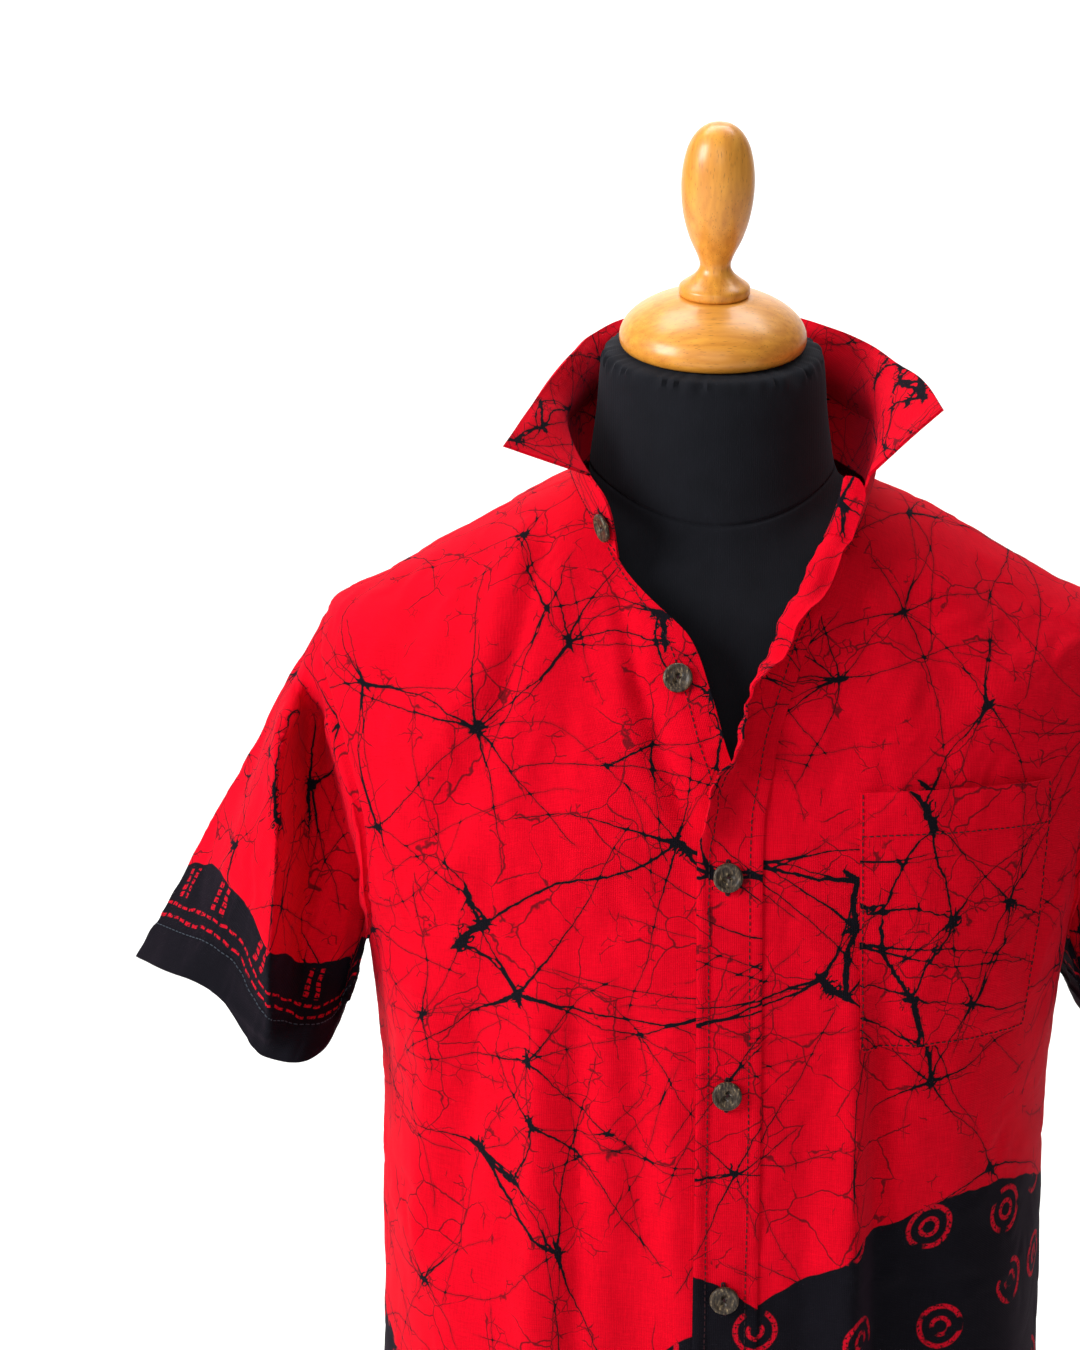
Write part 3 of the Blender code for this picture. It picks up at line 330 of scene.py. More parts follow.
# %% Curves through tables
def table_columns(table, at):
    """Every other column of a table, at the values `at` of its first column: a cubic through the rows whose slope
    at a row is the harmonic mean of its two neighbours' slopes, so that it never swings past a row."""
    rows = np.array(table, float)
    x, y = rows[:, 0], rows[:, 1:]
    step = np.diff(x)
    slope = np.diff(y, axis=0) / step[:, None]
    before, after = slope[:-1], slope[1:]
    same_way = before * after > 0
    total = np.where(same_way, before + after, 1.0)
    inner = np.where(same_way, 2.0 * before * after / total, 0.0)
    tangent = np.vstack([slope[:1], inner, slope[-1:]])
    at = np.clip(np.asarray(at, float), x[0], x[-1])
    k = np.clip(np.searchsorted(x, at, side="right") - 1, 0, len(x) - 2)
    h = step[k]
    s = ((at - x[k]) / h)[..., None]
    h = h[..., None]
    found = (
        (2 * s**3 - 3 * s**2 + 1) * y[k]
        + (s**3 - 2 * s**2 + s) * h * tangent[k]
        + (3 * s**2 - 2 * s**3) * y[k + 1]
        + (s**3 - s**2) * h * tangent[k + 1]
    )
    return np.moveaxis(found, -1, 0)


# %% The surface as a function of angle and level
def plain_shirt(angle, level):
    """A point on the shirt without folds: x = -w sin(a), y = -d cos(a), both a little fuller between the axes. The
    width w goes from the side's to the face's with the fourth power of sin(a), and the height eases from the
    ring's side height to its front or back height with the square of cos(a)."""
    angle, level = np.broadcast_arrays(np.asarray(angle, float), np.asarray(level, float))
    side_width, face_width, front, back, front_z, back_z = table_columns(SHIRT_RINGS, level)
    sine, cosine = np.sin(np.radians(angle)), np.cos(np.radians(angle))
    width = face_width + (side_width - face_width) * sine**4
    depth = np.where(cosine > 0, front, back)
    end_z = np.where(cosine > 0, front_z, back_z)
    x = -width * sine * (1 + SQUARENESS * cosine**2)
    y = -depth * cosine * (1 + SQUARENESS * sine**2)
    z = level + (end_z - level) * cosine**2
    return np.stack([x, y, z], -1)


def normal_of(surface, angle, level):
    """Outward unit normals of surface(angle, level), from the cross product of its two slopes."""
    turn, rise = 0.4, 0.0006
    across = surface(angle + turn, level) - surface(angle - turn, level)
    upward = surface(angle, level + rise) - surface(angle, level - rise)
    return unit(np.cross(upward, across))


FADE_PAST, FADE_OVER = 0.12, 0.3       # shares of a fold's length: how far past its end it fades, and over how much
TURN_OF_SIDE = 0.05                    # how far from the side line a fold of the front or back reaches its height


def fold_height(point, table, sharpness=2.0):
    """Sum of a table's folds at points of the plain surface: each is exp(-(a / half width) ^ sharpness) round a line,
    where a is the distance aside. It fades in at its start, and out at its end unless it runs to the hem."""
    total = np.zeros(point.shape[:-1])
    for side, x1, z1, x2, z2, half_width, height in table:
        line = np.array([x2 - x1, z2 - z1])
        length = np.hypot(*line)
        dx, dz = point[..., 0] - x1, point[..., 2] - z1
        along = (dx * line[0] + dz * line[1]) / length**2
        aside = (dx * line[1] - dz * line[0]) / length
        fade = smooth_step((along + FADE_PAST) / FADE_OVER)
        if z2 > HEM_LEVEL:
            fade = fade * smooth_step((1 + FADE_PAST - along) / FADE_OVER)
        facing = smooth_step(-side * point[..., 1] / TURN_OF_SIDE)
        total = total + height * fade * facing * np.exp(-(np.abs(aside / half_width) ** sharpness))
    return total


# The cloth is never quite smooth: a few long, low waves that cross each other at odd angles.
#    along_x, along_y, along_z, wave length, height
CLOTH_WAVES = (
    (0.9, 0.2, 0.4, 0.061, 0.00030), (0.3, 0.7, -0.8, 0.047, 0.00026), (-0.6, 0.5, 0.65, 0.034, 0.00018),
    (0.8, -0.4, 0.2, 0.023, 0.00012), (0.1, 0.3, 0.95, 0.081, 0.00030),
)
WAVE_BEND = 1.7                        # how far, in radians, the wave before bends a wave


def cloth_waves(point):
    """Sum of sine waves through space, each along its own direction, bent by the one before."""
    total, bend = np.zeros(point.shape[:-1]), 0.0
    for along_x, along_y, along_z, wave_length, height in CLOTH_WAVES:
        run = point @ unit(np.array([along_x, along_y, along_z])) / wave_length * 2 * math.pi
        wave = np.sin(run + WAVE_BEND * bend)
        total, bend = total + height * wave, wave
    return total


def shirt(angle, level):
    """The solids' outer face: the plain rings, moved along their normals by the large folds."""
    plain = plain_shirt(angle, level)
    return plain + normal_of(plain_shirt, angle, level) * fold_height(plain, SHIRT_FOLDS)[..., None]


def draped(angle, level):
    """The visible cloth: the solids' face with its small creases and waves. They die out at the neckline."""
    plain = plain_shirt(angle, level)
    calm = smooth_step((NECKLINE_LEVEL - np.asarray(level, float)) / 0.012)
    height = fold_height(plain, SHIRT_FOLDS) + calm * (fold_height(plain, SHIRT_CREASES, 1.6) + cloth_waves(plain))
    return plain + normal_of(plain_shirt, angle, level) * height[..., None]


def grid_normals(grid, ring=False):
    """Unit normals of a grid of points, turned away from the grid's own middle. A ring wraps its columns."""
    up = np.gradient(grid, axis=0)
    across = np.roll(grid, -1, axis=1) - np.roll(grid, 1, axis=1) if ring else np.gradient(grid, axis=1)
    normals = unit(np.cross(up, across))
    from_middle = grid - grid.reshape(-1, 3).mean(axis=0)
    return normals if np.sum(normals * from_middle) > 0 else -normals


def run_along(points):
    """How far each point of a line lies along it."""
    return np.concatenate([[0], np.cumsum(np.linalg.norm(np.diff(points, axis=0), axis=1))])


def runs_of(grid, axis):
    """How far each grid point lies from the grid's first row (axis 0) or column (axis 1), along the cloth."""
    steps = np.linalg.norm(np.diff(grid, axis=axis), axis=-1)
    start = np.zeros_like(np.take(grid[..., 0], [0], axis=axis))
    return np.concatenate([start, np.cumsum(steps, axis=axis)], axis=axis)


print("plain shirt at the chest:", plain_shirt(0.0, 0.65).round(4).tolist())

# %% [markdown]
# ## Where the fronts open
#
# A shirtmaker cuts the neck as a curve in each front. The wearer's left front carries a folded band, the placket, and
# laps over the right one. Both edges are tables of places, and the angle round the body is found from the place by
# halving an interval until the ring's x agrees.

# %% Edges of the fronts
#    level, x, edge_level
RIGHT_EDGE = in_metres((
    (150, 8, 150), (700, 8, 700), (750, 6, 753), (779, 0.5, 786), (790, -4.5, 801), (801, -8, 813), (812, -12, 824),
    (822, -16.5, 834.5), (831, -23, 841.5), (839, -36, 844.8), (846, -55.6, 846),
))
LEFT_EDGE = in_metres((
    (150, 11.8, 150), (700, 11.8, 700), (750, 12.8, 752), (779, 17, 784), (790, 19.4, 798), (801, 24, 811),
    (812, 29.2, 823.5), (822, 34.5, 833.5), (831, 41.2, 840.5), (839, 49, 844.2), (846, 57, 846),
))


def edge_of(table, level):
    """Angle and level at which a front edge runs, for rows of these side levels."""
    x, edge_level = table_columns(table, level)
    low, high = np.full(np.shape(x), -80.0), np.full(np.shape(x), 80.0)
    for _halving in range(40):
        middle = (low + high) / 2
        beyond = plain_shirt(middle, edge_level)[..., 0] < x
        high = np.where(beyond, middle, high)
        low = np.where(beyond, low, middle)
    return (low + high) / 2, edge_level


# %% Grids of the fronts and the back
ARMHOLE_MIDDLE = (UNDERARM_LEVEL + SHOULDER_TIP_LEVEL) / 2
ARMHOLE_HALF = (SHOULDER_TIP_LEVEL - UNDERARM_LEVEL) / 2
ARMHOLE_ROWS = 68
PANEL_LEVELS = np.concatenate([
    np.linspace(HEM_LEVEL, UNDERARM_LEVEL, 156)[:-1],
    ARMHOLE_MIDDLE + ARMHOLE_HALF * np.cos(np.linspace(math.pi, 0.0, ARMHOLE_ROWS)),
    np.linspace(SHOULDER_TIP_LEVEL, NECKLINE_LEVEL, 50)[1:],
])
FRONT_COLUMNS = 92
BACK_COLUMNS = 140


def armhole_reach(turn):
    """Degrees from the side line to the armhole at a turn round it: 0 is the shoulder tip, 180 degrees the
    underarm. It follows the sine below the middle and its square above, so the upper half runs straighter."""
    sine = np.abs(np.sin(turn))
    return ARMHOLE_REACH * np.where(np.cos(turn) > 0, sine**2, sine)


def panel_reach(depth_column):
    """Degrees from the side line to a panel's outer edge, row by row: the armhole's reach, and almost nothing along
    the side and shoulder seams, where the panels meet."""
    depth = table_columns(SHIRT_RINGS, PANEL_LEVELS)[depth_column]
    half_gap = np.degrees(SLIT / (depth * (1 + SQUARENESS)))
    turn = np.arccos(np.clip((PANEL_LEVELS - ARMHOLE_MIDDLE) / ARMHOLE_HALF, -1.0, 1.0))
    return np.maximum(armhole_reach(turn), half_gap)


def front_grid(side, edge_table):
    """A front from its edge at the opening (column 0) to the side seam, armhole and shoulder seam."""
    edge, edge_level = edge_of(edge_table, PANEL_LEVELS)
    side_line = side * (90 - panel_reach(2))
    share = np.linspace(0, 1, FRONT_COLUMNS)
    angle = edge[:, None] * (1 - share) + side_line[:, None] * share
    fade = (1 - share) ** 2
    level = edge_level[:, None] * fade + PANEL_LEVELS[:, None] * (1 - fade)
    return draped(angle, level)


def back_grid():
    """The back in one piece, from side seam to side seam."""
    first = 90 + panel_reach(3)
    share = np.linspace(0, 1, BACK_COLUMNS)
    angle = first[:, None] * (1 - share) + (360 - first[:, None]) * share
    return draped(angle, np.repeat(PANEL_LEVELS[:, None], BACK_COLUMNS, axis=1))


SEAM_SINK = 0.0012            # how far a panel's edge is drawn in by its seam
SEAM_REACH = 0.0035
SEAM_PUCKERS = (0.0105, 1.3, 0.037)


def puckers(run, pitch, sway, sway_run, other_way=None):
    """The small waves beside a seam, between -1 and 1: sin(2 pi run / pitch + sway sin(run / sway_run)). The second
    sine, which makes them uneven, may take another run."""
    return np.sin(2 * math.pi * run / pitch + sway * np.sin((run if other_way is None else other_way) / sway_run))


def sew_in(grid, normals, at_end, rows=slice(None)):
    """Draws a panel in along its first or last column, as a seam does: the sink fades with exp(-(d / reach)^2),
    where d is the distance from the edge, and is puckered along it by a sine of the run."""
    line = grid[:, ::-1] if at_end else grid
    away = runs_of(line, 1)
    along = runs_of(line, 0)[:, :1]
    sink = SEAM_SINK * (1 + 0.35 * puckers(along, *SEAM_PUCKERS)) * bell(away / SEAM_REACH)
    sink = sink[:, ::-1] if at_end else sink
    kept = np.zeros(len(grid))
    kept[rows] = 1.0
    return grid - normals * (sink * kept[:, None])[..., None]


right_grid = front_grid(1, RIGHT_EDGE)
left_grid = front_grid(-1, LEFT_EDGE)
whole_back = back_grid()
right_normals, left_normals, back_normals = (grid_normals(g) for g in (right_grid, left_grid, whole_back))
right_grid = sew_in(right_grid, right_normals, True)
left_grid = sew_in(left_grid, left_normals, True)
whole_back = sew_in(sew_in(whole_back, back_normals, False), back_normals, True)
print("front:", right_grid.shape, "back:", whole_back.shape, "tallest:", round(whole_back[..., 2].max(), 4))

# %% [markdown]
# ## The crackle
#
# In batik the cloth is painted with wax. Where the wax is crumpled it cracks in stars, and the next dye runs into the
# cracks. So the web is grown, and not drawn: stars are listed, arms grow out of them over the cloth and are
# steered to neighbouring stars, and thinner branches leave the arms. Each strand is a chain of points with a half
# width at each point, in millimetres.
#
# A web this fine can't be stored as colours on the mesh. What is stored instead, at each mesh point near a strand, is
# the signed distance to the strand's middle and the strand's half width there. Both change evenly, so the shader can
# draw a crisp line between mesh points. Strands that come close go into different layers, three to an attribute.

# %% Growing strands
STRAND_STEPS = 44
JAGGED = 0.00022              # how far a strand's points stray from its smooth path
DETOUR = 1.12                 # how much longer than the straight way a steered strand is
LONGEST_STEP = 1.5            # the most that a steered step is stretched


def turned_about(vectors, axes, angles):
    """Vectors turned about unit axes that they are square to: v cos(a) + (axis x v) sin(a)."""
    return vectors * np.cos(angles)[:, None] + np.cross(axes, vectors) * np.sin(angles)[:, None]


def squared_to(vectors, axes):
    """Unit vectors with their part along some unit axes taken away."""
    return unit(vectors - axes * np.sum(vectors * axes, axis=-1, keepdims=True))


def nearest_on(cloth, spots):
    """The cloth's nearest point and normal to each spot, where cloth is (points, normals)."""
    points, normals = cloth
    apart = np.sum(points**2, axis=1)[None] - 2 * spots @ points.T
    k = apart.argmin(axis=1)
    return points[k], normals[k]


def grow(cloth, start, heading, length, target, steer, kink, chance, steps=STRAND_STEPS):
    """Grows strands over a cloth, all at once. Each step moves on by length / steps, falls back on the cloth's
    tangent plane, and turns by a random kink, half of which lives on in the next step. With a steer above 0 the
    heading is pulled to the target, more and more towards the end."""
    place, paths = start.copy(), []
    swing = np.zeros(len(start))
    for k in range(steps + 1):
        point, normal = nearest_on(cloth, place)
        place = place - normal * np.sum((place - point) * normal, axis=1, keepdims=True)
        paths.append(place)
        aim = unit(target - place)
        pull = (steer * (0.06 + 0.94 * (k / steps) ** 2))[:, None]
        heading = heading * (1 - pull) + aim * pull
        heading = squared_to(heading, normal)
        swing = 0.50 * swing + chance.normal(0, kink, len(start))
        heading = turned_about(heading, normal, swing)
        left = np.linalg.norm(target - place, axis=1) / np.maximum(steps - k, 1)
        step = np.where(steer > 0, np.minimum(left * DETOUR, length / steps * LONGEST_STEP), length / steps)
        place = place + heading * step[:, None]
    paths = np.stack(paths, axis=1)
    return paths + chance.normal(0, JAGGED, paths.shape)


# %% Stars and their arms
def widths_along(start_mm, middle_mm, end_mm, steps=STRAND_STEPS + 1):
    """Half widths from one end of a strand to the other: each end's width fades with exp(-6 share)."""
    share = np.linspace(0, 1, steps)[None]
    start_mm, middle_mm, end_mm = (np.asarray(w, float)[:, None] for w in (start_mm, middle_mm, end_mm))
    return middle_mm + (start_mm - middle_mm) * np.exp(-6 * share) + (end_mm - middle_mm) * np.exp(-6 * (1 - share))


LINK_REACH = 0.150            # stars nearer than this are joined by strands
ARM_LENGTHS = (0.045, 0.150)
BRANCH_LENGTHS = (0.022, 0.080)


def crackle(cloth, stars, branches, seed, trunks=((0, 1, 0.4),)):
    """All strands of one web: a short thick blot at each star along the line to its nearest neighbour, links between
    neighbouring stars, free arms, and branches off them all. stars has rows x, y, z, weight, and trunks has rows
    first star, second star, half width for the heavy links. Returns the paths and their half widths in millimetres."""
    chance = np.random.default_rng(seed)
    spots, normals = nearest_on(cloth, stars[:, :3])
    weight = stars[:, 3]
    apart = np.linalg.norm(spots[:, None] - spots[None], axis=2)
    rank = apart.argsort(axis=1).argsort(axis=1)
    first, second = np.nonzero(np.triu((apart < LINK_REACH) & ((rank <= 3) | (rank.T <= 3)), 1))

    across = unit(np.cross(normals, np.array([0.3, 0.1, 1.0])))
    to_nearest = spots[(apart + 9.0 * np.eye(len(spots))).argmin(axis=1)] - spots
    to_nearest = squared_to(to_nearest, normals)
    ways = []
    for way in (0.0, math.pi):
        heading = turned_about(to_nearest, normals, way + chance.normal(0, 0.30, len(weight)))
        length = chance.uniform(0.002, 0.0055, len(weight)) * weight
        ways.append(grow(cloth, spots, heading, length, spots + heading, np.zeros(len(weight)), 0.04, chance,
                         STRAND_STEPS // 2))
    paths = [np.concatenate([ways[0][:, ::-1], ways[1][:, 1:]], axis=1)]
    from_star = np.abs(np.linspace(-1, 1, STRAND_STEPS + 1))[None]
    thick = (weight * chance.uniform(0.40, 0.85, len(weight)))[:, None]
    widths = [0.25 + thick * (1 - from_star**1.5) ** 1.3]

    slim = chance.uniform(0.08, 0.60, len(first))
    middle_mm = 0.12 + 0.5 * slim**2 * np.minimum(weight[first], weight[second]) / 2
    one, other, trunk_mm = np.array(trunks, float).T
    slim = np.concatenate([np.full(len(one), 0.35), slim])
    middle_mm = np.concatenate([trunk_mm, middle_mm])
    first, second = (np.concatenate([b.astype(int), a]) for a, b in ((first, one), (second, other)))
    start, goal = spots[first], spots[second]
    straight = unit(goal - start)
    paths.append(grow(cloth, start, turned_about(straight, normals[first], chance.normal(0, 0.24, len(first))),
                  apart[first, second] * DETOUR, goal, np.full(len(first), 0.55), 0.038, chance))
    widths.append(widths_along(weight[first] * slim, middle_mm, weight[second] * slim))

    pairs = np.round(0.9 + 0.9 * weight).astype(int)
    owners = np.repeat(np.arange(len(weight)), pairs)
    order = np.concatenate([np.arange(count) for count in pairs])
    turns = order * math.pi / pairs[owners] + chance.uniform(0, 6.3, len(weight))[owners]
    turns += chance.normal(0, 0.2, len(owners))
    ways = []
    for way in (0.0, math.pi):
        length = chance.uniform(*ARM_LENGTHS, len(owners)) * (0.45 + 0.22 * weight[owners])
        heading = turned_about(across[owners], normals[owners], turns + way + chance.normal(0, 0.22, len(owners)))
        ways.append(grow(cloth, spots[owners], heading, length, spots[owners] + heading, np.zeros(len(owners)), 0.045,
                         chance, STRAND_STEPS // 2))
    paths.append(np.concatenate([ways[0][:, ::-1], ways[1][:, 1:]], axis=1))
    slim = chance.uniform(0.15, 0.65, len(owners))
    rest_mm = (0.10 + 0.22 * slim)[:, None]
    widths.append(rest_mm + ((weight[owners] * slim)[:, None] - rest_mm) * np.exp(-4.5 * from_star))

    for part in range(2):
        parents, parent_widths = np.concatenate(paths), np.concatenate(widths)
        chosen = chance.integers(0, len(parents), branches)
        where = chance.integers(5, STRAND_STEPS - 6, branches)
        start = parents[chosen, where]
        along = unit(parents[chosen, where + 3] - start)
        normal = nearest_on(cloth, start)[1]
        side = np.where(chance.random(branches) < 0.5, -1.0, 1.0)
        heading = turned_about(along, normal, side * chance.uniform(0.35, 0.95, branches))
        length = chance.uniform(*BRANCH_LENGTHS, branches) * (1.0 if part else 1.5)
        paths.append(grow(cloth, start, heading, length, start + heading, np.zeros(branches), 0.050, chance))
        begin = np.minimum(parent_widths[chosen, where] * 0.7, 0.6)
        widths.append(widths_along(begin, 0.10 + 0.22 * begin, np.full(branches, 0.04)))
    return np.concatenate(paths), np.concatenate(widths)


# %% Storing strands on a mesh
INK_LAYERS = 9
FAR_MM = -9.0                 # half width where no strand is near
END_TAPER = 0.004             # strands are pinched shut over this length at both ends
OFF_CLOTH = 0.0025            # lines thin out where a piece lies further above or below the web than this
MESH_REACH = 1.45             # a strand is stored this many mesh spacings past its edge
LAYER_GAP = 1.5               # and is this many from the next strand in its layer
WOBBLE_ROOM = 0.0008          # how far past its edge the shader's wobble may carry a strand
PINCH_MM = 0.7                # a strand's half width is this far below 0 at its very ends


def ink_layers(points, normals, web, spacing, off_cloth):
    """Signed distance to a strand along the cloth, and its half width, in millimetres, for each point and layer. A
    strand takes the first layer in which nothing lies within its reach, and is left out where there is none."""
    paths, widths = web
    side_mm = np.zeros((len(points), INK_LAYERS))
    half_mm = np.full((len(points), INK_LAYERS), FAR_MM)
    taken = np.zeros((len(points), INK_LAYERS), bool)
    left_out = 0
    for path, width in zip(paths, widths):
        reach = width.max() / 1000 + WOBBLE_ROOM + spacing * MESH_REACH
        gap = spacing * LAYER_GAP
        margin = reach + gap + off_cloth
        low, high = path.min(axis=0) - margin, path.max(axis=0) + margin
        near = np.nonzero(((points > low) & (points < high)).all(axis=1))[0]
        if len(near) == 0:
            continue
        a, b = path[:-1], path[1:]
        edge = b - a
        size = np.maximum(np.sum(edge**2, axis=1), 1e-14)
        from_a = points[near][:, None] - a[None]
        share = np.clip(np.sum(from_a * edge, axis=2) / size, 0, 1)
        off = from_a - share[..., None] * edge
        above = np.sum(off * normals[near][:, None], axis=2)
        off = off - normals[near][:, None] * above[..., None]
        apart = np.sum(off**2, axis=2) + np.maximum(np.abs(above) - off_cloth, 0) ** 2
        k = apart.argmin(axis=1)
        row = np.arange(len(near))
        apart, off, share = np.sqrt(apart[row, k]), off[row, k], share[row, k]
        zone = apart < reach + gap
        if not zone.any():
            continue
        free = np.nonzero(~taken[near[zone]].any(axis=0))[0]
        if len(free) == 0:
            left_out += 1
            continue
        layer = free[0]
        close = apart < reach
        near, apart, off, share, k = (part[close] for part in (near, apart, off, share, k))
        taken[near, layer] = True
        across = np.cross(normals[near], edge[k])
        run = np.concatenate([[0], np.cumsum(np.sqrt(size))])
        at = run[k] + share * np.sqrt(size[k])
        from_end = np.minimum(at, run[-1] - at)
        here = width[k] * (1 - share) + width[k + 1] * share
        side_mm[near, layer] = 1000 * apart * np.where(np.sum(off * across, axis=1) < 0, -1.0, 1.0)
        half_mm[near, layer] = here - (here + PINCH_MM) * (1 - smooth_step(from_end / END_TAPER))
    return side_mm, half_mm, left_out


def blot_mm(points, stars, seed):
    """How deep a point lies in a star's blot, in millimetres: its radius, waved round the star, less the distance."""
    chance = np.random.default_rng(seed)
    depth = np.full(len(points), FAR_MM)
    for x, y, z, weight in stars:
        off = points - np.array([x, y, z])
        apart = np.linalg.norm(off, axis=1) * 1000
        turn = np.arctan2(off[:, 2], off[:, 0] + off[:, 1])
        lobes = np.cos(turn * (3 + int(chance.integers(0, 3))) + chance.uniform(0, 6.3))
        depth = np.maximum(depth, weight * (0.95 + 0.55 * lobes) - apart)
    return depth


def dye(piece, grid, normals, web, stars, spacing, seed, shift=(0.0, 0.0, 0.0)):
    """Stores a web on a shell's mesh: once for the grid's outer face, and again for its inner face. The shift moves
    the cloth against the web, as a piece that is cut from another place in the cloth is."""
    points = grid.reshape(-1, 3) + np.array(shift)
    off_cloth = OFF_CLOTH + max(shift)
    side_mm, half_mm, left_out = ink_layers(points, normals.reshape(-1, 3), web, spacing, off_cloth)
    blots = blot_mm(points, stars, seed)
    copies = len(piece.data.vertices) // len(points)
    for group in range(INK_LAYERS // 3):
        part = slice(group * 3, group * 3 + 3)
        for name, values in (("ink_side", side_mm), ("ink_half", half_mm)):
            attribute = piece.data.attributes.new(f"{name}_{group}", "FLOAT_VECTOR", "POINT")
            attribute.data.foreach_set("vector", np.tile(values[:, part], (copies, 1)).astype(np.float32).ravel())
    attribute = piece.data.attributes.new("blot", "FLOAT", "POINT")
    attribute.data.foreach_set("value", np.tile(blots, copies).astype(np.float32))
    print(f"{piece.name}: {len(points)} points dyed, {left_out} of {len(web[0])} strands left out")


# %% [markdown]
# ## Batik cotton
#
# Plain-woven cotton shirting, piece-dyed crimson and then black through the cracked wax. The dye leaves the cloth
# matt, with a pinkish bloom where light grazes the fibres, and slightly uneven along the yarns. The ink lines are
# ragged, because the crack in the wax is. Yarns lie 0.35 mm apart in the real cloth; they are drawn at 0.9 mm.
#
# The lower body and the cuffs have a black border with an arched top, ruled with short red dashes in rows and
# columns. Inside the body's border, broken rings and curls stand in cells of a loose grid.

# %% Batik cotton
YARN_PITCH = 0.0009
WAVE_SCALE = 2 * math.pi / 20          # a Wave texture of scale 1 has bands this many units apart
WEBBING_MM = 2.2                       # strands closer than this grow together
CRIMSON, CRIMSON_DEEP, BLACK_DYE, DASH_RED = (linear(h) for h in ("#DE0220", "#CE0119", "#111016", "#C40A22"))
# Hair cracks: the size of their cells, how far these are bent and half a crack's width, in millimetres, and the
# broad noise above which they are kept.
HAIR_CRACKS = ((30.0, 15.0, 0.42, 0.46), (11.0, 5.0, 0.30, 0.58))
YARN_STRETCHES = ((90.0, 1500.0, 1.0), (1500.0, 90.0, 1.0))


def batik_cotton(name, border=None):
    """Cotton with the stored web, fine crackle, yarns, and, where border is given, a black border whose top lies
    border["height"] above the hem on the piece's own UV, which is in metres: u round the piece and v up from it."""
    cloth = new_material(name, Roughness=0.85, Specular_IOR_Level=0.05, Sheen_Weight=0.03, Sheen_Roughness=0.40,
                         Sheen_Tint=linear("#FF9FE0"))
    node = partial(add_node, cloth)
    place = node("TexCoord", out="Object")

    # A crack wobbles twice over: slowly by up to half a millimetre, and quickly by a quarter of one.
    slow = node("TexNoise", place, Scale=210.0, Detail=2.0)
    quick = node("TexNoise", place, Scale=800.0, Detail=1.0)
    wobble = node("Math MULTIPLY_ADD", quick, 0.5, node("Math MULTIPLY_ADD", slow, 1.1, -0.55))
    wobble = node("Math SUBTRACT", wobble, 0.25)
    uneven = node("Math MULTIPLY_ADD", node("TexNoise", place, Scale=330.0, Detail=2.0), 1.3, 0.30)

    # How deep a place lies in each of nine strands, in millimetres. A smooth maximum joins them, so that strands
    # which meet grow a web between them, as dye does that creeps along both.
    depths = []
    for group in range(INK_LAYERS // 3):
        moved = node("VectorMath ADD", node(f"Attribute ink_side_{group}", out="Vector"), wobble)
        wide = node("VectorMath MULTIPLY", node(f"Attribute ink_half_{group}", out="Vector"), uneven)
        inside = node("VectorMath SUBTRACT", wide, node("VectorMath ABSOLUTE", moved))
        depths += node("SeparateXYZ", inside).node.outputs
    ragged_blot = node("Math MULTIPLY_ADD", slow, 5.0, node("Attribute blot", out="Fac"))
    depths.append(node("Math SUBTRACT", ragged_blot, 2.9))
    strands = reduce(lambda one, other: node("Math SMOOTH_MAX", one, other, WEBBING_MM), depths)
    beside = node("MapRange", strands, -6.0, -1.0, 0.0, 0.13)

    # Hair cracks: the walls between the cells of a bent Voronoi pattern, kept only where a broad noise is high or a
    # strand is near.
    hairs = []
    for cell_mm, bend_mm, half_mm, keep in HAIR_CRACKS:
        bend = node("TexNoise", place, Scale=1400 / cell_mm, Detail=3.0, out="Color")
        bend = node("VectorMath SUBTRACT", bend, (0.5, 0.5, 0.5))
        bend = node("VectorMath MULTIPLY_ADD", bend, (bend_mm / 1000,) * 3, place)
        wall_mm = node("Math MULTIPLY", node("TexVoronoi DISTANCE_TO_EDGE", bend, Scale=1000 / cell_mm), cell_mm)
        broad = node("Math ADD", node("TexNoise", place, Scale=700 / cell_mm, Detail=1.0), beside)
        hairs.append(node("Math SUBTRACT", node("MapRange", broad, keep - 0.10, keep + 0.10, -0.5, half_mm), wall_mm))
    hair_ink = node("MapRange SMOOTHSTEP", node("Math MAXIMUM", *hairs), -0.10, 0.30, 0.0, 0.75)
    strand_ink = node("MapRange SMOOTHSTEP", strands, -0.16, 0.16)
    stain = node("MapRange SMOOTHSTEP", strands, -1.6, 0.3, 0.0, 0.24)
    ink = node("Math MAXIMUM", node("Math MAXIMUM", hair_ink, strand_ink), stain)

    # The red itself: two crimsons in a broad noise, and yarns a little lighter or darker along their length.
    uv = node("UVMap cut")
    red = node("Mix RGBA", node("TexNoise", place, Scale=28.0, Detail=4.0), CRIMSON_DEEP, CRIMSON)
    yarns = [node("TexNoise", node("VectorMath MULTIPLY", uv, way), Scale=1.0, Detail=2.0) for way in YARN_STRETCHES]
    shade = node("MapRange", node("Math ADD", *yarns), 0.6, 1.4, 0.82, 1.14)
    colour = node("Mix RGBA", ink, red, BLACK_DYE)
    if border:
        colour = black_border(node, colour, uv, **border)
    bands = [node(f"TexWave {way}", uv, Scale=WAVE_SCALE / YARN_PITCH, Distortion=0.0, out="Fac") for way in "XY"]
    weave = node("Math MULTIPLY", node("Math ADD", *bands), shade)
    fill_shader(cloth, Base_Color=node("VectorMath SCALE", colour, Scale=shade),
                Normal=node("Bump", Height=weave, Strength=0.55, Distance=0.00016))
    return cloth


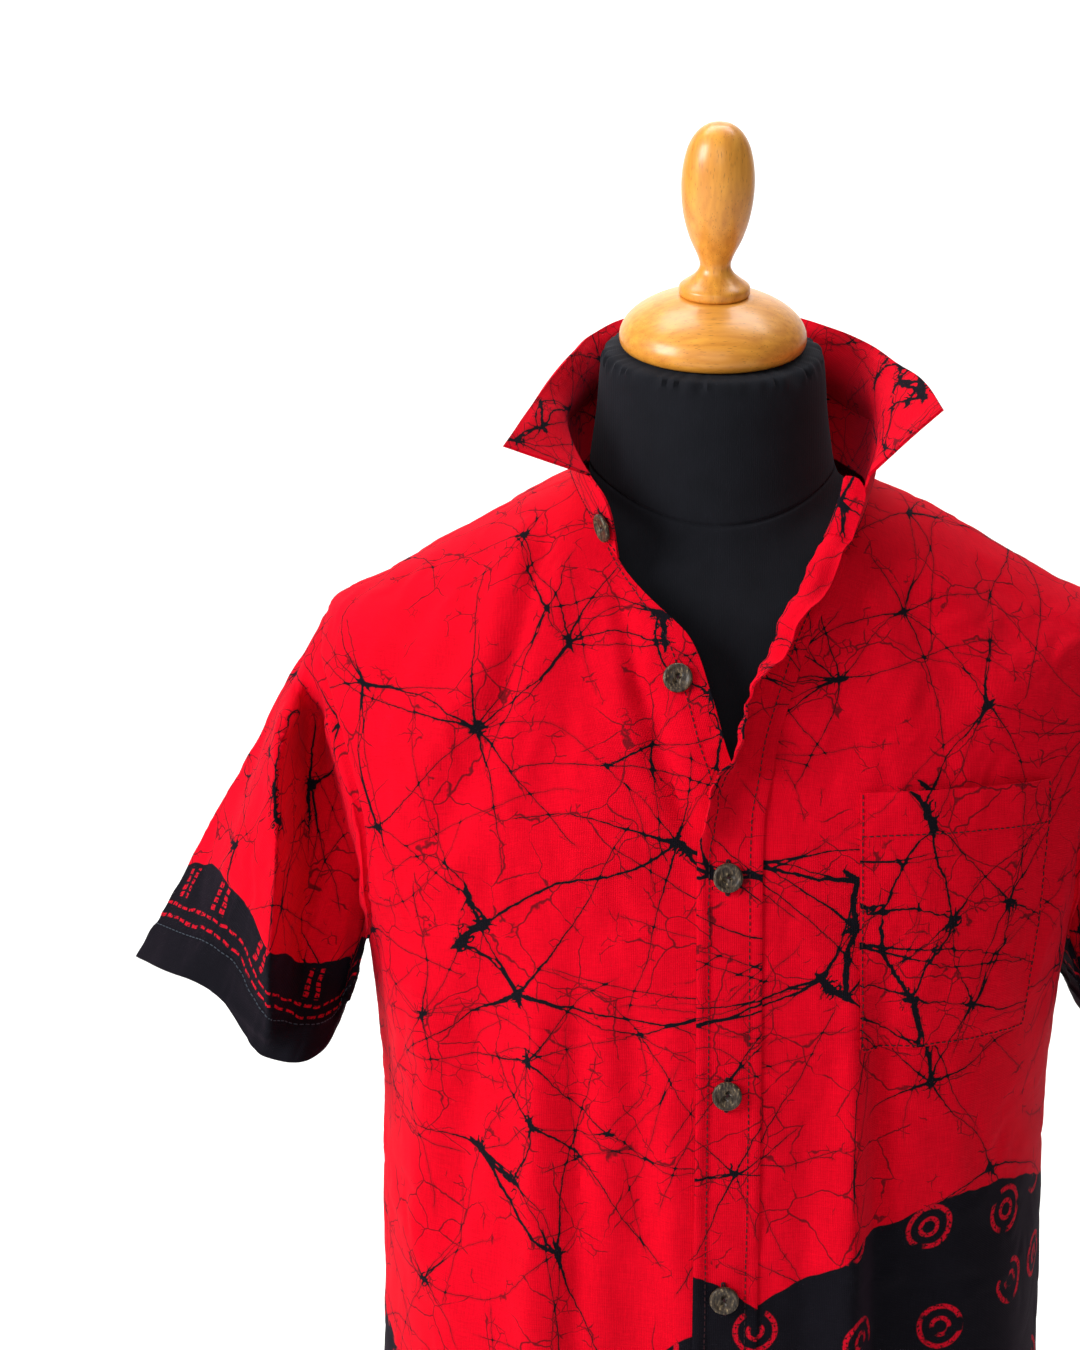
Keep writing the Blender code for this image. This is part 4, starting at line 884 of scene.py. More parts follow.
# Dashes: where their row or column runs, half their width, how far apart they are, and whether they make a column.
DASHES = ((0.0290, 0.0009, 0.0072, False), (0.0365, 0.0009, 0.0066, False),
          (0.0100, 0.0016, 0.0046, True), (0.0175, 0.0015, 0.0042, True))
DASH_COLUMN_PITCH = 0.040
DASH_COLUMN_ENDS = ((0.0406, 0.0414), (0.0604, 0.0596))
RING_PITCH = 0.046
RINGS = ((0.0110, 0.0013), (0.0045, 0.0011))       # radius and half width


def near_line(node, value, middle, half_width, soft):
    """1 where a value lies within half_width of the middle, and 0 further out, with an edge `soft` either way."""
    off = node("Math ABSOLUTE", node("Math SUBTRACT", value, middle))
    return node("MapRange", off, half_width + soft, half_width - soft)


def black_border(node, colour, uv, height, arch, arch_pitch, arch_at, rings):
    """Lays the black border over a colour: black below height + arch cos(u - arch_at), with two rows of red dashes,
    pairs of dashed columns above them, and, where rings is true, broken rings in the field between."""
    u, v = node("SeparateXYZ", uv).node.outputs[:2]
    swing = node("Math MULTIPLY", node("Math SUBTRACT", u, arch_at), 2 * math.pi / arch_pitch)
    top = node("Math MULTIPLY_ADD", node("Math COSINE", swing), arch, height - 0.0055)
    top = node("Math MULTIPLY_ADD", node("TexNoise", uv, Scale=42.0, Detail=1.5), 0.011, top)
    black = node("MapRange", node("Math SUBTRACT", top, v), -0.0003, 0.0003)

    # A dash is on where its row or column is near, and a sawtooth along it is below the dash's share.
    worn = node("MapRange", node("TexNoise", uv, Scale=620.0, Detail=3.0), 0.36, 0.50)
    drift = node("Math MULTIPLY_ADD", node("TexNoise", uv, Scale=60.0, Detail=2.0), 0.006, -0.003)
    u_bent, v_bent = (node("Math ADD", way, drift) for way in (u, v))
    marks = []
    for middle, half_width, pitch, column in DASHES:
        along, aside = (v_bent, node("Math FLOORED_MODULO", u_bent, DASH_COLUMN_PITCH)) if column else (u_bent, v_bent)
        beat = node("MapRange", node("Math FLOORED_MODULO", along, pitch), pitch * 0.74, pitch * 0.68)
        mark = node("Math MULTIPLY", near_line(node, aside, middle, half_width, 0.0002), beat)
        for off, on in DASH_COLUMN_ENDS if column else ():
            mark = node("Math MULTIPLY", mark, node("MapRange", v, off, on))
        marks.append(mark)
    if rings:
        cells = node("TexVoronoi", uv, Scale=1 / RING_PITCH, Randomness=0.45, voronoi_dimensions="2D")
        broken = node("MapRange", node("TexNoise", uv, Scale=55.0), 0.42, 0.47)
        above = node("MapRange", v, 0.078, 0.084)
        for radius, half_width in RINGS:
            line = near_line(node, cells, radius / RING_PITCH, half_width / RING_PITCH, 0.0003 / RING_PITCH)
            marks.append(node("Math MULTIPLY", node("Math MULTIPLY", line, broken), above))
    dashes = reduce(lambda one, other: node("Math MAXIMUM", one, other), marks)
    field = node("Mix RGBA", node("Math MULTIPLY", dashes, worn), BLACK_DYE, DASH_RED)
    return node("Mix RGBA", black, colour, field)


plain_batik = batik_cotton("wax_resist_cotton")
cuff_batik = batik_cotton(
    "wax_resist_cotton_cuff", {"height": 0.0610, "arch": 0.0035, "arch_pitch": 0.105, "arch_at": 0.03, "rings": False}
)
body_batik = batik_cotton(
    "wax_resist_cotton_hem", {"height": 0.2900, "arch": 0.0600, "arch_pitch": 0.600, "arch_at": 0.13, "rings": True}
)
print("cloth materials:", plain_batik.name, cuff_batik.name, body_batik.name)

# %% [markdown]
# ## The body of the shirt
#
# Two fronts and a back, cut from flat cotton and joined by side and shoulder seams. Each is a shell: one grid of
# points for the right side of the cloth and the same grid moved in by its thickness for the wrong side. The UV map is
# the cut itself, in metres, so the yarns run straight up and down each piece as they did on the bolt.

# %% Where the stars are
#    x, z, weight_mm
FRONT_STARS = in_metres((
    (-80, 772, 1.4), (-126, 735, 1.7), (-25, 680, 2.2), (-133, 649, 1.8), (-119, 637, 2.2), (-133, 624, 2.4),
    (-103, 601, 2.4), (-104, 567, 1.5), (-100, 539, 1.3), (-126, 519, 2.2), (-111, 509, 1.8), (56.5, 661, 2.4),
    (57, 632, 2.4), (48, 612, 2.4), (55.5, 602, 2), (93, 703, 2.3), (55, 759, 1.2), (74.5, 654, 2), (92, 611, 2.2),
    (93.5, 562, 1.8), (-7, 671, 2.2), (-88, 790, 0.8), (-30, 786, 1), (-32, 772, 1.3), (-167, 801, 1.1),
    (-102, 824, 0.8), (89, 783, 1), (-49, 590, 1), (-54, 534, 1.1), (4, 519, 1.1), (-156, 581, 0.9), (-60, 716, 0.5),
    (130, 740, 1.5), (140, 650, 1.5), (125, 600, 1.6), (-85, 470, 1.6), (-36, 790, 1.6), (-14, 752, 1.2),
    (-6, 730, 0.9), (102, 690, 1.8), (110, 640, 1.4),
), slice(0, 2))
# The heavy strands: the two stars that each one joins, by row, and its half width in millimetres.
FRONT_TRUNKS = (
    (4, 5, 1.1), (4, 2, 0.6), (6, 5, 0.5), (3, 4, 0.6), (2, 20, 0.8), (20, 11, 0.8), (11, 12, 1.3), (12, 14, 1.5),
    (14, 13, 1.3), (6, 13, 0.4), (9, 10, 1.1), (10, 8, 0.4), (9, 35, 1.1), (11, 17, 1.1), (17, 18, 1.2), (18, 19, 1),
    (15, 39, 0.7), (0, 23, 0.35), (13, 27, 0.4), (23, 22, 0.7), (23, 36, 0.9), (36, 37, 0.6), (37, 38, 0.45),
    (39, 40, 0.6), (40, 18, 0.5), (17, 40, 0.4), (17, 39, 0.6),
)


def on_front(x, z):
    """The front-facing point of the coarse cloth nearest to (x, z)."""
    points, normals = body_cloth
    ahead = normals[:, 1] < 0.1
    apart = (points[ahead, 0] - x) ** 2 + (points[ahead, 2] - z) ** 2
    return points[ahead][apart.argmin()]


def scattered(points, apart, keep_off, chance):
    """Picks points at random, each at least `apart` from those picked before and from keep_off."""
    picked = [np.asarray(p, float) for p in keep_off]
    first = len(picked)
    for k in chance.permutation(len(points)):
        if min(np.sum((points[k] - p) ** 2) for p in picked) > apart**2:
            picked.append(points[k])
    return np.array(picked[first:])


def coarse(grid, normals, every):
    """Every so many rows and columns of a grid and its normals, as two lists of points."""
    return tuple(part[::every, ::every].reshape(-1, 3) for part in (grid, normals))


def all_stars(cloth, by_hand, apart, weights, chance):
    """The listed stars, and others scattered over the cloth, with weights between the two given ones."""
    others = scattered(cloth[0], apart, by_hand[:, :3], chance)
    return np.concatenate([by_hand, np.column_stack([others, chance.uniform(*weights, len(others))])])


PANELS = ((right_grid, right_normals), (left_grid, left_normals), (whole_back, back_normals))
body_cloth = tuple(np.concatenate(part) for part in zip(*(coarse(*panel, 4) for panel in PANELS)))
front_stars = np.array([[*on_front(x, z), weight] for x, z, weight in FRONT_STARS])
body_stars = all_stars(body_cloth, front_stars, 0.062, (0.5, 1.9), np.random.default_rng(31))
body_web = crackle(body_cloth, body_stars, branches=150, seed=7, trunks=FRONT_TRUNKS)
print(len(body_stars), "stars,", len(body_web[0]), "strands")


def cut_uv(grid, start_column, sign):
    """The cut as UV in metres: u is the run along each row from a column, v the run up each column."""
    across = runs_of(grid, 1)
    return np.stack([sign * (across - across[:, start_column][:, None]), runs_of(grid, 0)], -1)


BODY_SPACING = 0.0026


def body_panel(name, grid, normals, start_column, sign, material):
    """One panel of the body, dyed with the body's web."""
    piece = shell(name, grid, grid - normals * CLOTH, cut_uv(grid, start_column, sign), material)
    dye(piece, grid, normals, body_web, body_stars, BODY_SPACING, 5)
    return piece


front_right = body_panel("front_right_cotton", right_grid, right_normals, 0, -1, body_batik)
front_left = body_panel("front_left_cotton", left_grid, left_normals, 0, 1, body_batik)
back = body_panel("back_cotton", whole_back, back_normals, BACK_COLUMNS // 2, 1, body_batik)

# %% [markdown]
# ## Sleeves
#
# A set-in sleeve is a tube that is wider at the armhole than the arm, so off the arm it hangs in a ridge at the front
# with a slack trough beside it. Each ring of the tube runs from the armhole's own points to the hem's, and the ridges
# and troughs are added along the tube's normals.

# %% Sleeves
# Turns round the armhole, in degrees: one for each of the panels' rows, and as many again across the main fold.
SLEEVE_TURNS = np.concatenate([np.arange(0, 360, 180 / (ARMHOLE_ROWS - 1)), np.arange(25, 118, 1.2)])
SLEEVE_TURNS = np.unique(SLEEVE_TURNS.round(2))
SLEEVE_SHARES = np.concatenate([np.linspace(0, 0.08, 9)[:-1], np.linspace(0.08, 1.0, 72)])
SLEEVE_HEM = in_metres((
    (0, -315, 5, 582), (30, -286, -30, 582), (52, -263, -45, 575), (72, -248, -63, 560), (88, -237, -75, 553),
    (105, -220.5, -76, 550), (125, -208.5, -60, 551), (150, -202.5, -35, 556), (180, -199.5, 0, 559),
    (210, -202, 36, 558), (240, -214, 64, 556), (270, -240, 78, 558), (300, -270, 66, 567), (330, -300, 39, 576),
    (360, -315, 5, 582),
), slice(1, 4))
# One row for each crease: the turn it starts and ends at, the share of the sleeve's length where it does so, its
# half width in degrees of turn, and its height.
#    turn1, share1, turn2, share2, half_width, height
SLEEVE_CREASES = in_metres((
    (44, 0, 58, 0.3, 7, -3.6), (24, 0.02, 36, 0.36, 8, 2), (120, 0, 134, 0.6, 8, 1.8), (6, 0.25, 30, 1.05, 9, -1.8),
    (350, 0.3, 8, 1.1, 9, 1.6), (345, 0.1, 338, 1, 10, 1.5), (322, 0, 318, 0.7, 9, -2),
    (280, 0.05, 274, 1.05, 9, 2.4), (256, 0, 262, 0.75, 9, -3), (150, 0.1, 146, 0.9, 10, 1.4),
    (215, 0.15, 220, 1, 11, 1.6),
), 5)
CUFF_FOLD = 0.0225            # how far up the sleeve its hem is turned
CUFF_PUCKERS = (0.012, 2.0, 0.03)
# The main fold's ridge: its turn at a share of the sleeve's length.
SLEEVE_RIDGE = ((0.00, 31.0), (0.20, 32.0), (0.287, 37.0), (0.495, 56.0), (0.728, 71.0), (1.00, 89.0))
FOLD_HEIGHT, HOLLOW_DEPTH = 0.022, 0.038
RISE_TURN, ROUNDED_TURN = 55.0, 3.0    # degrees over which the ridge rises from outside, and is rounded at its top
STEEP_TURN = 22.0                      # degrees over which it falls to the hollow
HOLLOW_TURNS = (126.0, 36.0)           # where the hollow starts to come back to 0, and over how many degrees
RIDGE_SHARES = (0.15, 0.11)            # the same for the start of the ridge, in shares of the sleeve's length
HOLLOW_SHARES = (0.04, 0.14)           # for the start of the hollow
FOLD_END_SHARES = (0.66, 0.34)         # and for the end of both
SLACK_DEPTH, SLACK_TURN, SLACK_WIDTH = 0.006, 300, 24.0        # how far, where and how wide it falls in behind


def armhole(side, turn):
    """Points and normals round an armhole: level = middle + half cos(turn), at the armhole's reach from the side."""
    level = ARMHOLE_MIDDLE + ARMHOLE_HALF * np.cos(turn)
    angle = side * (90 - np.sign(np.sin(turn)) * armhole_reach(turn))
    return draped(angle, level), normal_of(shirt, angle, level)


def turn_aside(turn, line):
    """Degrees from a line to a turn, the shorter way round: between -180 and 180."""
    return (turn - line + 180) % 360 - 180


def main_fold(turn, share):
    """How far forward the sleeve's main fold stands. Its ridge starts in a pinch below the shoulder and runs down
    and forward. From the arm's outside the height rises evenly to the ridge and falls steeply beyond it, into a
    hollow that stays deep as far as the body and comes back to 0 under the arm."""
    aside = turn_aside(turn, table_columns(SLEEVE_RIDGE, share)[0])
    rise = np.clip(1 - (np.sqrt(aside**2 + ROUNDED_TURN**2) - ROUNDED_TURN) / RISE_TURN, 0, 1)
    fall = smooth_step(aside / STEEP_TURN)
    ridge = step_from(share, *RIDGE_SHARES) * np.where(aside < 0, rise, 1 - fall)
    hollow = step_from(share, *HOLLOW_SHARES) * fall * (1 - step_from(turn, *HOLLOW_TURNS))
    return (1 - step_from(share, *FOLD_END_SHARES)) * (FOLD_HEIGHT * ridge - HOLLOW_DEPTH * hollow)


def crease_height(turn, share, table):
    """Sum of a sleeve's creases: exp(-(a / half width)^2), where a is the turn aside of the crease's line."""
    total = np.zeros(np.broadcast(turn, share).shape)
    for turn1, share1, turn2, share2, half_width, height in table:
        along = (share - share1) / (share2 - share1)
        aside = turn_aside(turn, turn1 + (turn2 - turn1) * along)
        fade = smooth_step(along / 0.12) * smooth_step((1 - along) / 0.25)
        total = total + height * fade * bell(aside / half_width)
    return total


def sleeve_grid(side):
    """A sleeve's outer face: point = armhole (1 - share) + hem share, moved forward by the main fold, in behind by
    a bell that swells halfway, and out by the creases and the double cloth of the turned-up hem. At the armhole it
    dips into the seam along the body's normals."""
    turn = np.radians(SLEEVE_TURNS)
    start, body_normals = armhole(side, turn)
    hem = np.stack(table_columns(SLEEVE_HEM, np.degrees(turn)), -1) * np.array([side, 1.0, 1.0])
    share = SLEEVE_SHARES[:, None, None]
    rings = start * (1 - share) + hem * share
    behind = np.sin(math.pi * share) * bell(turn_aside(SLEEVE_TURNS, SLACK_TURN) / SLACK_WIDTH)[None, :, None]
    rings = rings - unit(rings - rings.mean(axis=1, keepdims=True)) * SLACK_DEPTH * behind
    rings[..., 1] -= main_fold(SLEEVE_TURNS[None], share[..., 0])
    normals = grid_normals(rings, ring=True)
    run = runs_of(rings, 0)
    to_hem = run[-1] - run
    small = crease_height(np.degrees(turn)[None], SLEEVE_SHARES[:, None], SLEEVE_CREASES) + cloth_waves(rings)
    small = small * smooth_step(run / 0.02)
    along_hem = runs_of(rings[-1:], 1)
    turned_up = 0.0005 * smooth_step((CUFF_FOLD - to_hem) / 0.0016)
    line = (0.0004 + 0.00035 * puckers(along_hem, *CUFF_PUCKERS)) * bell((to_hem - CUFF_FOLD) / 0.0022)
    rings = rings + normals * (small + turned_up - line)[..., None]
    dip = SEAM_SINK * 1.6 * bell(run / (SEAM_REACH * 1.5))
    share_of_body = smooth_step(1 - run / 0.006)[..., None]
    direction = unit(body_normals[None] * share_of_body + normals * (1 - share_of_body))
    return rings - direction * dip[..., None]


def ring_uv(grid):
    """UV of a tube, in metres: u is the run round its last ring, v the run up from that ring. One column more."""
    closed = np.concatenate([grid, grid[:, :1]], axis=1)
    run = runs_of(closed, 0)
    around = np.repeat(runs_of(closed[-1:], 1), len(grid), axis=0)
    return np.stack([around, run[-1:] - run], -1)


def sleeve(name, side, seed):
    """A sleeve on the wearer's right (1) or left (-1), dyed with a web of its own."""
    grid = sleeve_grid(side)
    normals = grid_normals(grid, ring=True)
    piece = shell(name, grid, grid - normals * CLOTH, ring_uv(grid), cuff_batik, ring=True)
    cloth = coarse(grid, normals, 3)
    stars = all_stars(cloth, SLEEVE_STARS * [side, 1, 1, 1], 0.052, (1.0, 2.0), np.random.default_rng(seed))
    dye(piece, grid, normals, crackle(cloth, stars, branches=50, seed=seed), stars, 0.0030, seed)
    return piece, grid, normals


#    x, y, z, weight_mm
SLEEVE_STARS = in_metres((
    (-236, -60, 690, 1.1), (-212, -70, 672, 2), (-255, -45, 712, 1.5), (-210, -75, 632, 1), (-262, -40, 655, 1.4),
), slice(0, 3))
sleeve_right, right_sleeve_grid, right_sleeve_normals = sleeve("sleeve_right_cotton", 1, 11)
sleeve_left, left_sleeve_grid, left_sleeve_normals = sleeve("sleeve_left_cotton", -1, 12)

# %% [markdown]
# ## Placket
#
# The band down the wearer's left front is a strip folded in two and stitched near both edges. Flat where the shirt is
# buttoned, it rolls outward at the neck until its wrong side shows. Across the band, the direction of each step turns
# by an angle that grows smoothly from one side of the roll to the other, so the roll keeps the band's width.

# %% Placket
PLACKET_WIDTH = 0.030
PLACKET_OVER_PANEL = 0.002             # how far it reaches past the front's own edge
ROLL_SPREAD = 0.50                     # the share of its width over which it bends
OFF_PANEL, WIDE_OPEN = 30.0, 90.0      # degrees of roll from which it is wholly off the front, and wholly open
SWAY, SWAY_PITCH = 13.0, 0.041         # degrees by which the open roll turns to and fro, and how often
RAGGED, RAGGED_PITCHES = 0.0014, (0.029, 0.0105)       # how far its free edge wanders, and how often
PLACKET_PUCKERS = (0.0095, 1.5, 0.031)
PROUD, PROUD_MM = 0.0014, (24.0, 6.0)  # how far the flat band's free edge stands off, from where, over what
PLACKET_LEVELS = np.concatenate([np.linspace(HEM_LEVEL, 0.700, 150)[:-1], np.linspace(0.700, NECKLINE_LEVEL, 110)])
PLACKET_MM = np.array([0.0, 0.5, 1.6, 4.0, 6.4, 8.8, 12.0, 16.0, 20.0, 23.2, 25.6, 28.0, 30.4, 31.5, 32.0])
DOUBLE_LIFT = DOUBLE_CLOTH + SEAM_GAP          # how far the outer face of a double piece lies off the panel
#    level, degrees it has rolled through, the share of the width where it folds
PLACKET_ROLL = in_metres((
    (150, 0, 0.5), (700, 0, 0.5), (722, 6, 0.5), (748, 30, 0.52), (770, 62, 0.54), (785, 84, 0.56), (800, 96, 0.57),
    (812, 112, 0.58), (822, 136, 0.58), (834, 160, 0.57), (846, 172, 0.56),
), 0)
STITCH_IN = 0.0064            # from the band's edges to its stitch lines
PRESSED = 0.0012              # how wide the thin edge is that an iron leaves
STITCH_DIP = 0.0016           # how far to each side of a stitch line the cloth is drawn in


def stitch_dip(away, depth, uneven, pucker, reach=STITCH_DIP):
    """How deep a stitch line draws the cloth in, `away` from it: (depth + uneven pucker) bell(away / reach)."""
    return (depth + uneven * pucker) * bell(away / reach)


def placket_grid():
    """Outer points, normals, and the flat points they had before the band rolled. Flat, the band lies on the
    fronts. Rolled, its direction turns by roll x smooth_step((share - fold_at) / spread + 1/2)."""
    angle, level = edge_of(LEFT_EDGE, PLACKET_LEVELS)
    edge = draped(angle, level)
    along = unit(np.gradient(edge, axis=0))
    normal = normal_of(shirt, angle, level)
    across = unit(np.cross(normal, along))
    across = np.where(across[:, :1] > 0, -across, across)
    roll, fold_at = table_columns(PLACKET_ROLL, PLACKET_LEVELS)
    run = run_along(edge)
    open_share = smooth_step(roll / WIDE_OPEN)
    roll = np.radians(roll + SWAY * open_share * np.sin(2 * math.pi * run / SWAY_PITCH))
    slow, quick = (2 * math.pi * run / pitch for pitch in RAGGED_PITCHES)
    width = PLACKET_WIDTH + RAGGED * open_share * (np.sin(slow) + 0.7 * np.sin(quick + 1.0))
    share = PLACKET_MM / PLACKET_MM[-1]
    metres_a_degree = np.linalg.norm(shirt(angle + 1, level) - shirt(angle, level), axis=1)
    run_across = share * (width[:, None] + PLACKET_OVER_PANEL) - PLACKET_OVER_PANEL
    flat_angle = angle[:, None] + run_across / metres_a_degree[:, None]
    flat_level = np.repeat(level[:, None], len(share), axis=1)
    flat_normals = normal_of(shirt, flat_angle, flat_level)
    on_cloth = draped(flat_angle, flat_level)
    flat = on_cloth + flat_normals * DOUBLE_LIFT

    def bent(at):
        """Cosine and sine of how far the band has turned at a share of its width."""
        bend = roll[:, None] * smooth_step((at - fold_at[:, None]) / ROLL_SPREAD + 0.5)
        return np.cos(bend)[..., None], np.sin(bend)[..., None]

    cosine, sine = bent((share[1:] + share[:-1]) / 2)
    way = cosine * across[:, None] + sine * normal[:, None]
    step = np.diff(share)[None] * (width + PLACKET_OVER_PANEL)[:, None]
    start = edge - across * PLACKET_OVER_PANEL + normal * DOUBLE_LIFT
    rolled = np.concatenate([start[:, None], start[:, None] + np.cumsum(way * step[..., None], axis=1)], axis=1)
    cosine, sine = bent(share)
    rolled_normals = cosine * normal[:, None] - sine * across[:, None]
    mix = smooth_step(np.degrees(roll) / OFF_PANEL)[:, None, None]
    grid = flat * (1 - mix) + rolled * mix
    normals = unit(flat_normals * (1 - mix) + rolled_normals * mix)
    from_edge = np.minimum(PLACKET_MM, PLACKET_MM[-1] - PLACKET_MM)[None] / 1000
    pressed = 0.00045 * (1 - smooth_step(from_edge / PRESSED))
    drawn_in = stitch_dip(from_edge - STITCH_IN, 0.00040, 0.00022, puckers(run, *PLACKET_PUCKERS)[:, None])
    proud = PROUD * step_from(PLACKET_MM[None], *PROUD_MM) * (1 - open_share)[:, None]
    return grid + normals * (proud - pressed - drawn_in)[..., None], normals, on_cloth


band, band_normals, band_flat = placket_grid()
placket = shell("placket_cotton", band, band - band_normals * DOUBLE_CLOTH, cut_uv(band, 0, 1), body_batik)
dye(placket, band_flat, band_normals, body_web, body_stars, 0.0036, 5, shift=(0.0065, 0.0, 0.0045))

# %% [markdown]
# ## Collar
#
# Two pieces: a stand, which is a band sewn round the neckline, and a leaf sewn to the stand's top edge. Both hold an
# interlining, so they are stiffer and thicker than the fronts. The leaf is a ruled surface from the stand's top edge
# to a listed outer edge, hollowed a little with sin(pi share).

# %% Collar stand
STAND_HEIGHT = 0.030
STAND_END_ANGLE, LEAF_END_ANGLE = 43.5, 54.0   # degrees round the neck from the centre front
STAND_FROM_MM = 8.0           # the stand's wearer's-left end rides on the placket's columns from here on
LEAN, MORE_LEAN, LEAN_ANGLES = 4, 12, (70, 60) # degrees it leans out, more towards its ends, and where that begins
STAND_BULGE = 0.0012
STAND_SHARES = np.array([0.0, 0.03, 0.10, 0.20, 0.32, 0.44, 0.56, 0.68, 0.80, 0.90, 0.97, 1.0])
STAND_ROUND = 0.009           # the ends' top corners are rounded to this


def stand_grid():
    """Outer points of the stand, its thickness directions, its upward directions, and the columns under the leaf.
    It stands on the neckline, and its wearer's-left end goes on along the top of the rolled placket."""
    leaf_angles = np.linspace(LEAF_END_ANGLE, 360 - LEAF_END_ANGLE, 150)
    right_end = np.linspace(STAND_END_ANGLE, LEAF_END_ANGLE, 13)[:-1]
    seam_angle = 360 + edge_of(LEFT_EDGE, np.array([NECKLINE_LEVEL]))[0][0]
    left_end = np.linspace(360 - LEAF_END_ANGLE, seam_angle, 12)[1:]
    angle = np.concatenate([right_end, leaf_angles, left_end])
    base = shirt(angle, np.full(len(angle), NECKLINE_LEVEL))
    outward, upright = unit(base * [1, 1, 0]), np.array([0.0, 0.0, 1.0])
    from_back = np.abs(angle - 180.0)
    lean = np.radians(LEAN + MORE_LEAN * step_from(from_back, *LEAN_ANGLES))[:, None]
    rise = np.sin(lean) * outward + np.cos(lean) * upright
    thick = np.cos(lean) * outward - np.sin(lean) * upright
    first = int(np.searchsorted(PLACKET_MM, STAND_FROM_MM))
    onward = unit((band[-1, first:] - band[-6, first:]).mean(axis=0))
    end_rise = unit(onward * 0.35 + rise[-1] * 0.65)
    turning = np.linspace(0, 1, len(left_end) + 1)[1:, None]
    rise[-len(left_end) :] = unit(rise[-len(left_end) :] * (1 - turning) + end_rise * turning)
    thick = squared_to(thick, rise)
    end_base = band[-1, first:] + onward * SEAM_GAP
    across_thick = squared_to(band_normals[-1, first:], end_rise)
    base = np.concatenate([base, end_base])
    rise = np.concatenate([rise, np.repeat(end_rise[None], len(end_base), axis=0)])
    thick = np.concatenate([thick, across_thick])
    run = run_along(base)
    from_end = np.minimum(run, run[-1] - run)
    corner = 1 - np.clip(from_end / STAND_ROUND, 0, 1)
    height = STAND_HEIGHT * (0.66 + 0.34 * np.sqrt(1 - corner**2))
    share = STAND_SHARES[:, None, None]
    outer = base + rise * (SEAM_GAP + share * (height[:, None] - SEAM_GAP))
    bulge = STAND_BULGE * np.sin(math.pi * share) * smooth_step(from_end / 0.012)[:, None]
    outer = outer + thick * bulge
    columns = slice(len(right_end), len(right_end) + len(leaf_angles))
    return outer, thick, rise, leaf_angles, columns


stand_outer, stand_thick, stand_rise, leaf_angles, leaf_columns = stand_grid()
stand_normals = grid_normals(stand_outer)
stand_inner = stand_outer - stand_thick[None] * COLLAR_CLOTH
stand = shell("collar_stand_cotton", stand_outer, stand_inner, cut_uv(stand_outer, 0, 1), plain_batik)
print("stand:", stand_outer.shape)

# %% Collar leaf
#    x, y, z
LEAF_EDGE_RIGHT = in_metres((
    (-112.5, -90, 868.5), (-101, -56, 883), (-88.5, -22, 898.5), (-77, 8, 911), (-67, 40, 919), (-43, 76, 927),
    (0, 93, 931),
))
LEAF_EDGE_LEFT = in_metres((
    (101.5, -92, 887), (97.5, -58, 899), (89, -22, 907), (80, 12, 914.5), (65, 44, 921.5), (41, 77, 928),
    (0, 93, 931),
))
LEAF_SHARES = np.concatenate([[0.0, 0.012, 0.035], np.linspace(0.08, 0.90, 20), [0.945, 0.975, 0.992, 1.0]])
LEAF_STITCH_IN = 0.0060
LEAF_HOLLOW, FLAT_SIDE = 0.005, 0.045  # how deep the leaf is hollowed, and how far from its front edges in full
LEAF_PUCKERS = (0.0090, 1.0, 0.02)


def leaf_edge(angle):
    """The leaf's outer edge at an angle of the stand: a curve through the listed points on each side."""
    span = 180 - LEAF_END_ANGLE
    right = curve_through(LEAF_EDGE_RIGHT, (angle - LEAF_END_ANGLE) / span)
    left = curve_through(LEAF_EDGE_LEFT, (360 - LEAF_END_ANGLE - angle) / span)
    return np.where((angle <= 180)[..., None], right, left)


def leaf_grid():
    """Ruled from the stand's top edge to the leaf's edge, and hollowed by 5 mm x sin(pi share), which fades to
    nothing at the straight front edges. A stitch line draws it in 6 mm from its free edges."""
    low = stand_outer[-1, leaf_columns] + stand_rise[leaf_columns] * SEAM_GAP
    high = leaf_edge(leaf_angles)
    share = LEAF_SHARES[:, None, None]
    straight = low * (1 - share) + high * share
    normals = grid_normals(straight)
    across = runs_of(straight, 1)
    from_side = np.minimum(across, across[:, -1:] - across)
    grid = straight - normals * LEAF_HOLLOW * np.sin(math.pi * share) * smooth_step(from_side / FLAT_SIDE)[..., None]
    up = runs_of(grid, 0)
    from_top = up[-1:] - up
    edge = np.minimum(from_side, from_top)
    drawn_in = stitch_dip(edge - LEAF_STITCH_IN, 0.00035, 0.00025, puckers(across + up, *LEAF_PUCKERS, across), 0.0018)
    wave = 0.0007 * np.sin(across / 0.021 + 1.0) * share[..., 0] ** 2
    return grid - normals * (drawn_in + wave)[..., None]


leaf_outer = leaf_grid()
leaf_normals = grid_normals(leaf_outer)
leaf_thick = leaf_normals.copy()
leaf_thick[0] = stand_thick[leaf_columns]
leaf_inner = leaf_outer - leaf_thick * COLLAR_CLOTH
leaf = shell("collar_leaf_cotton", leaf_outer, leaf_inner, cut_uv(leaf_outer, 0, 1), plain_batik)
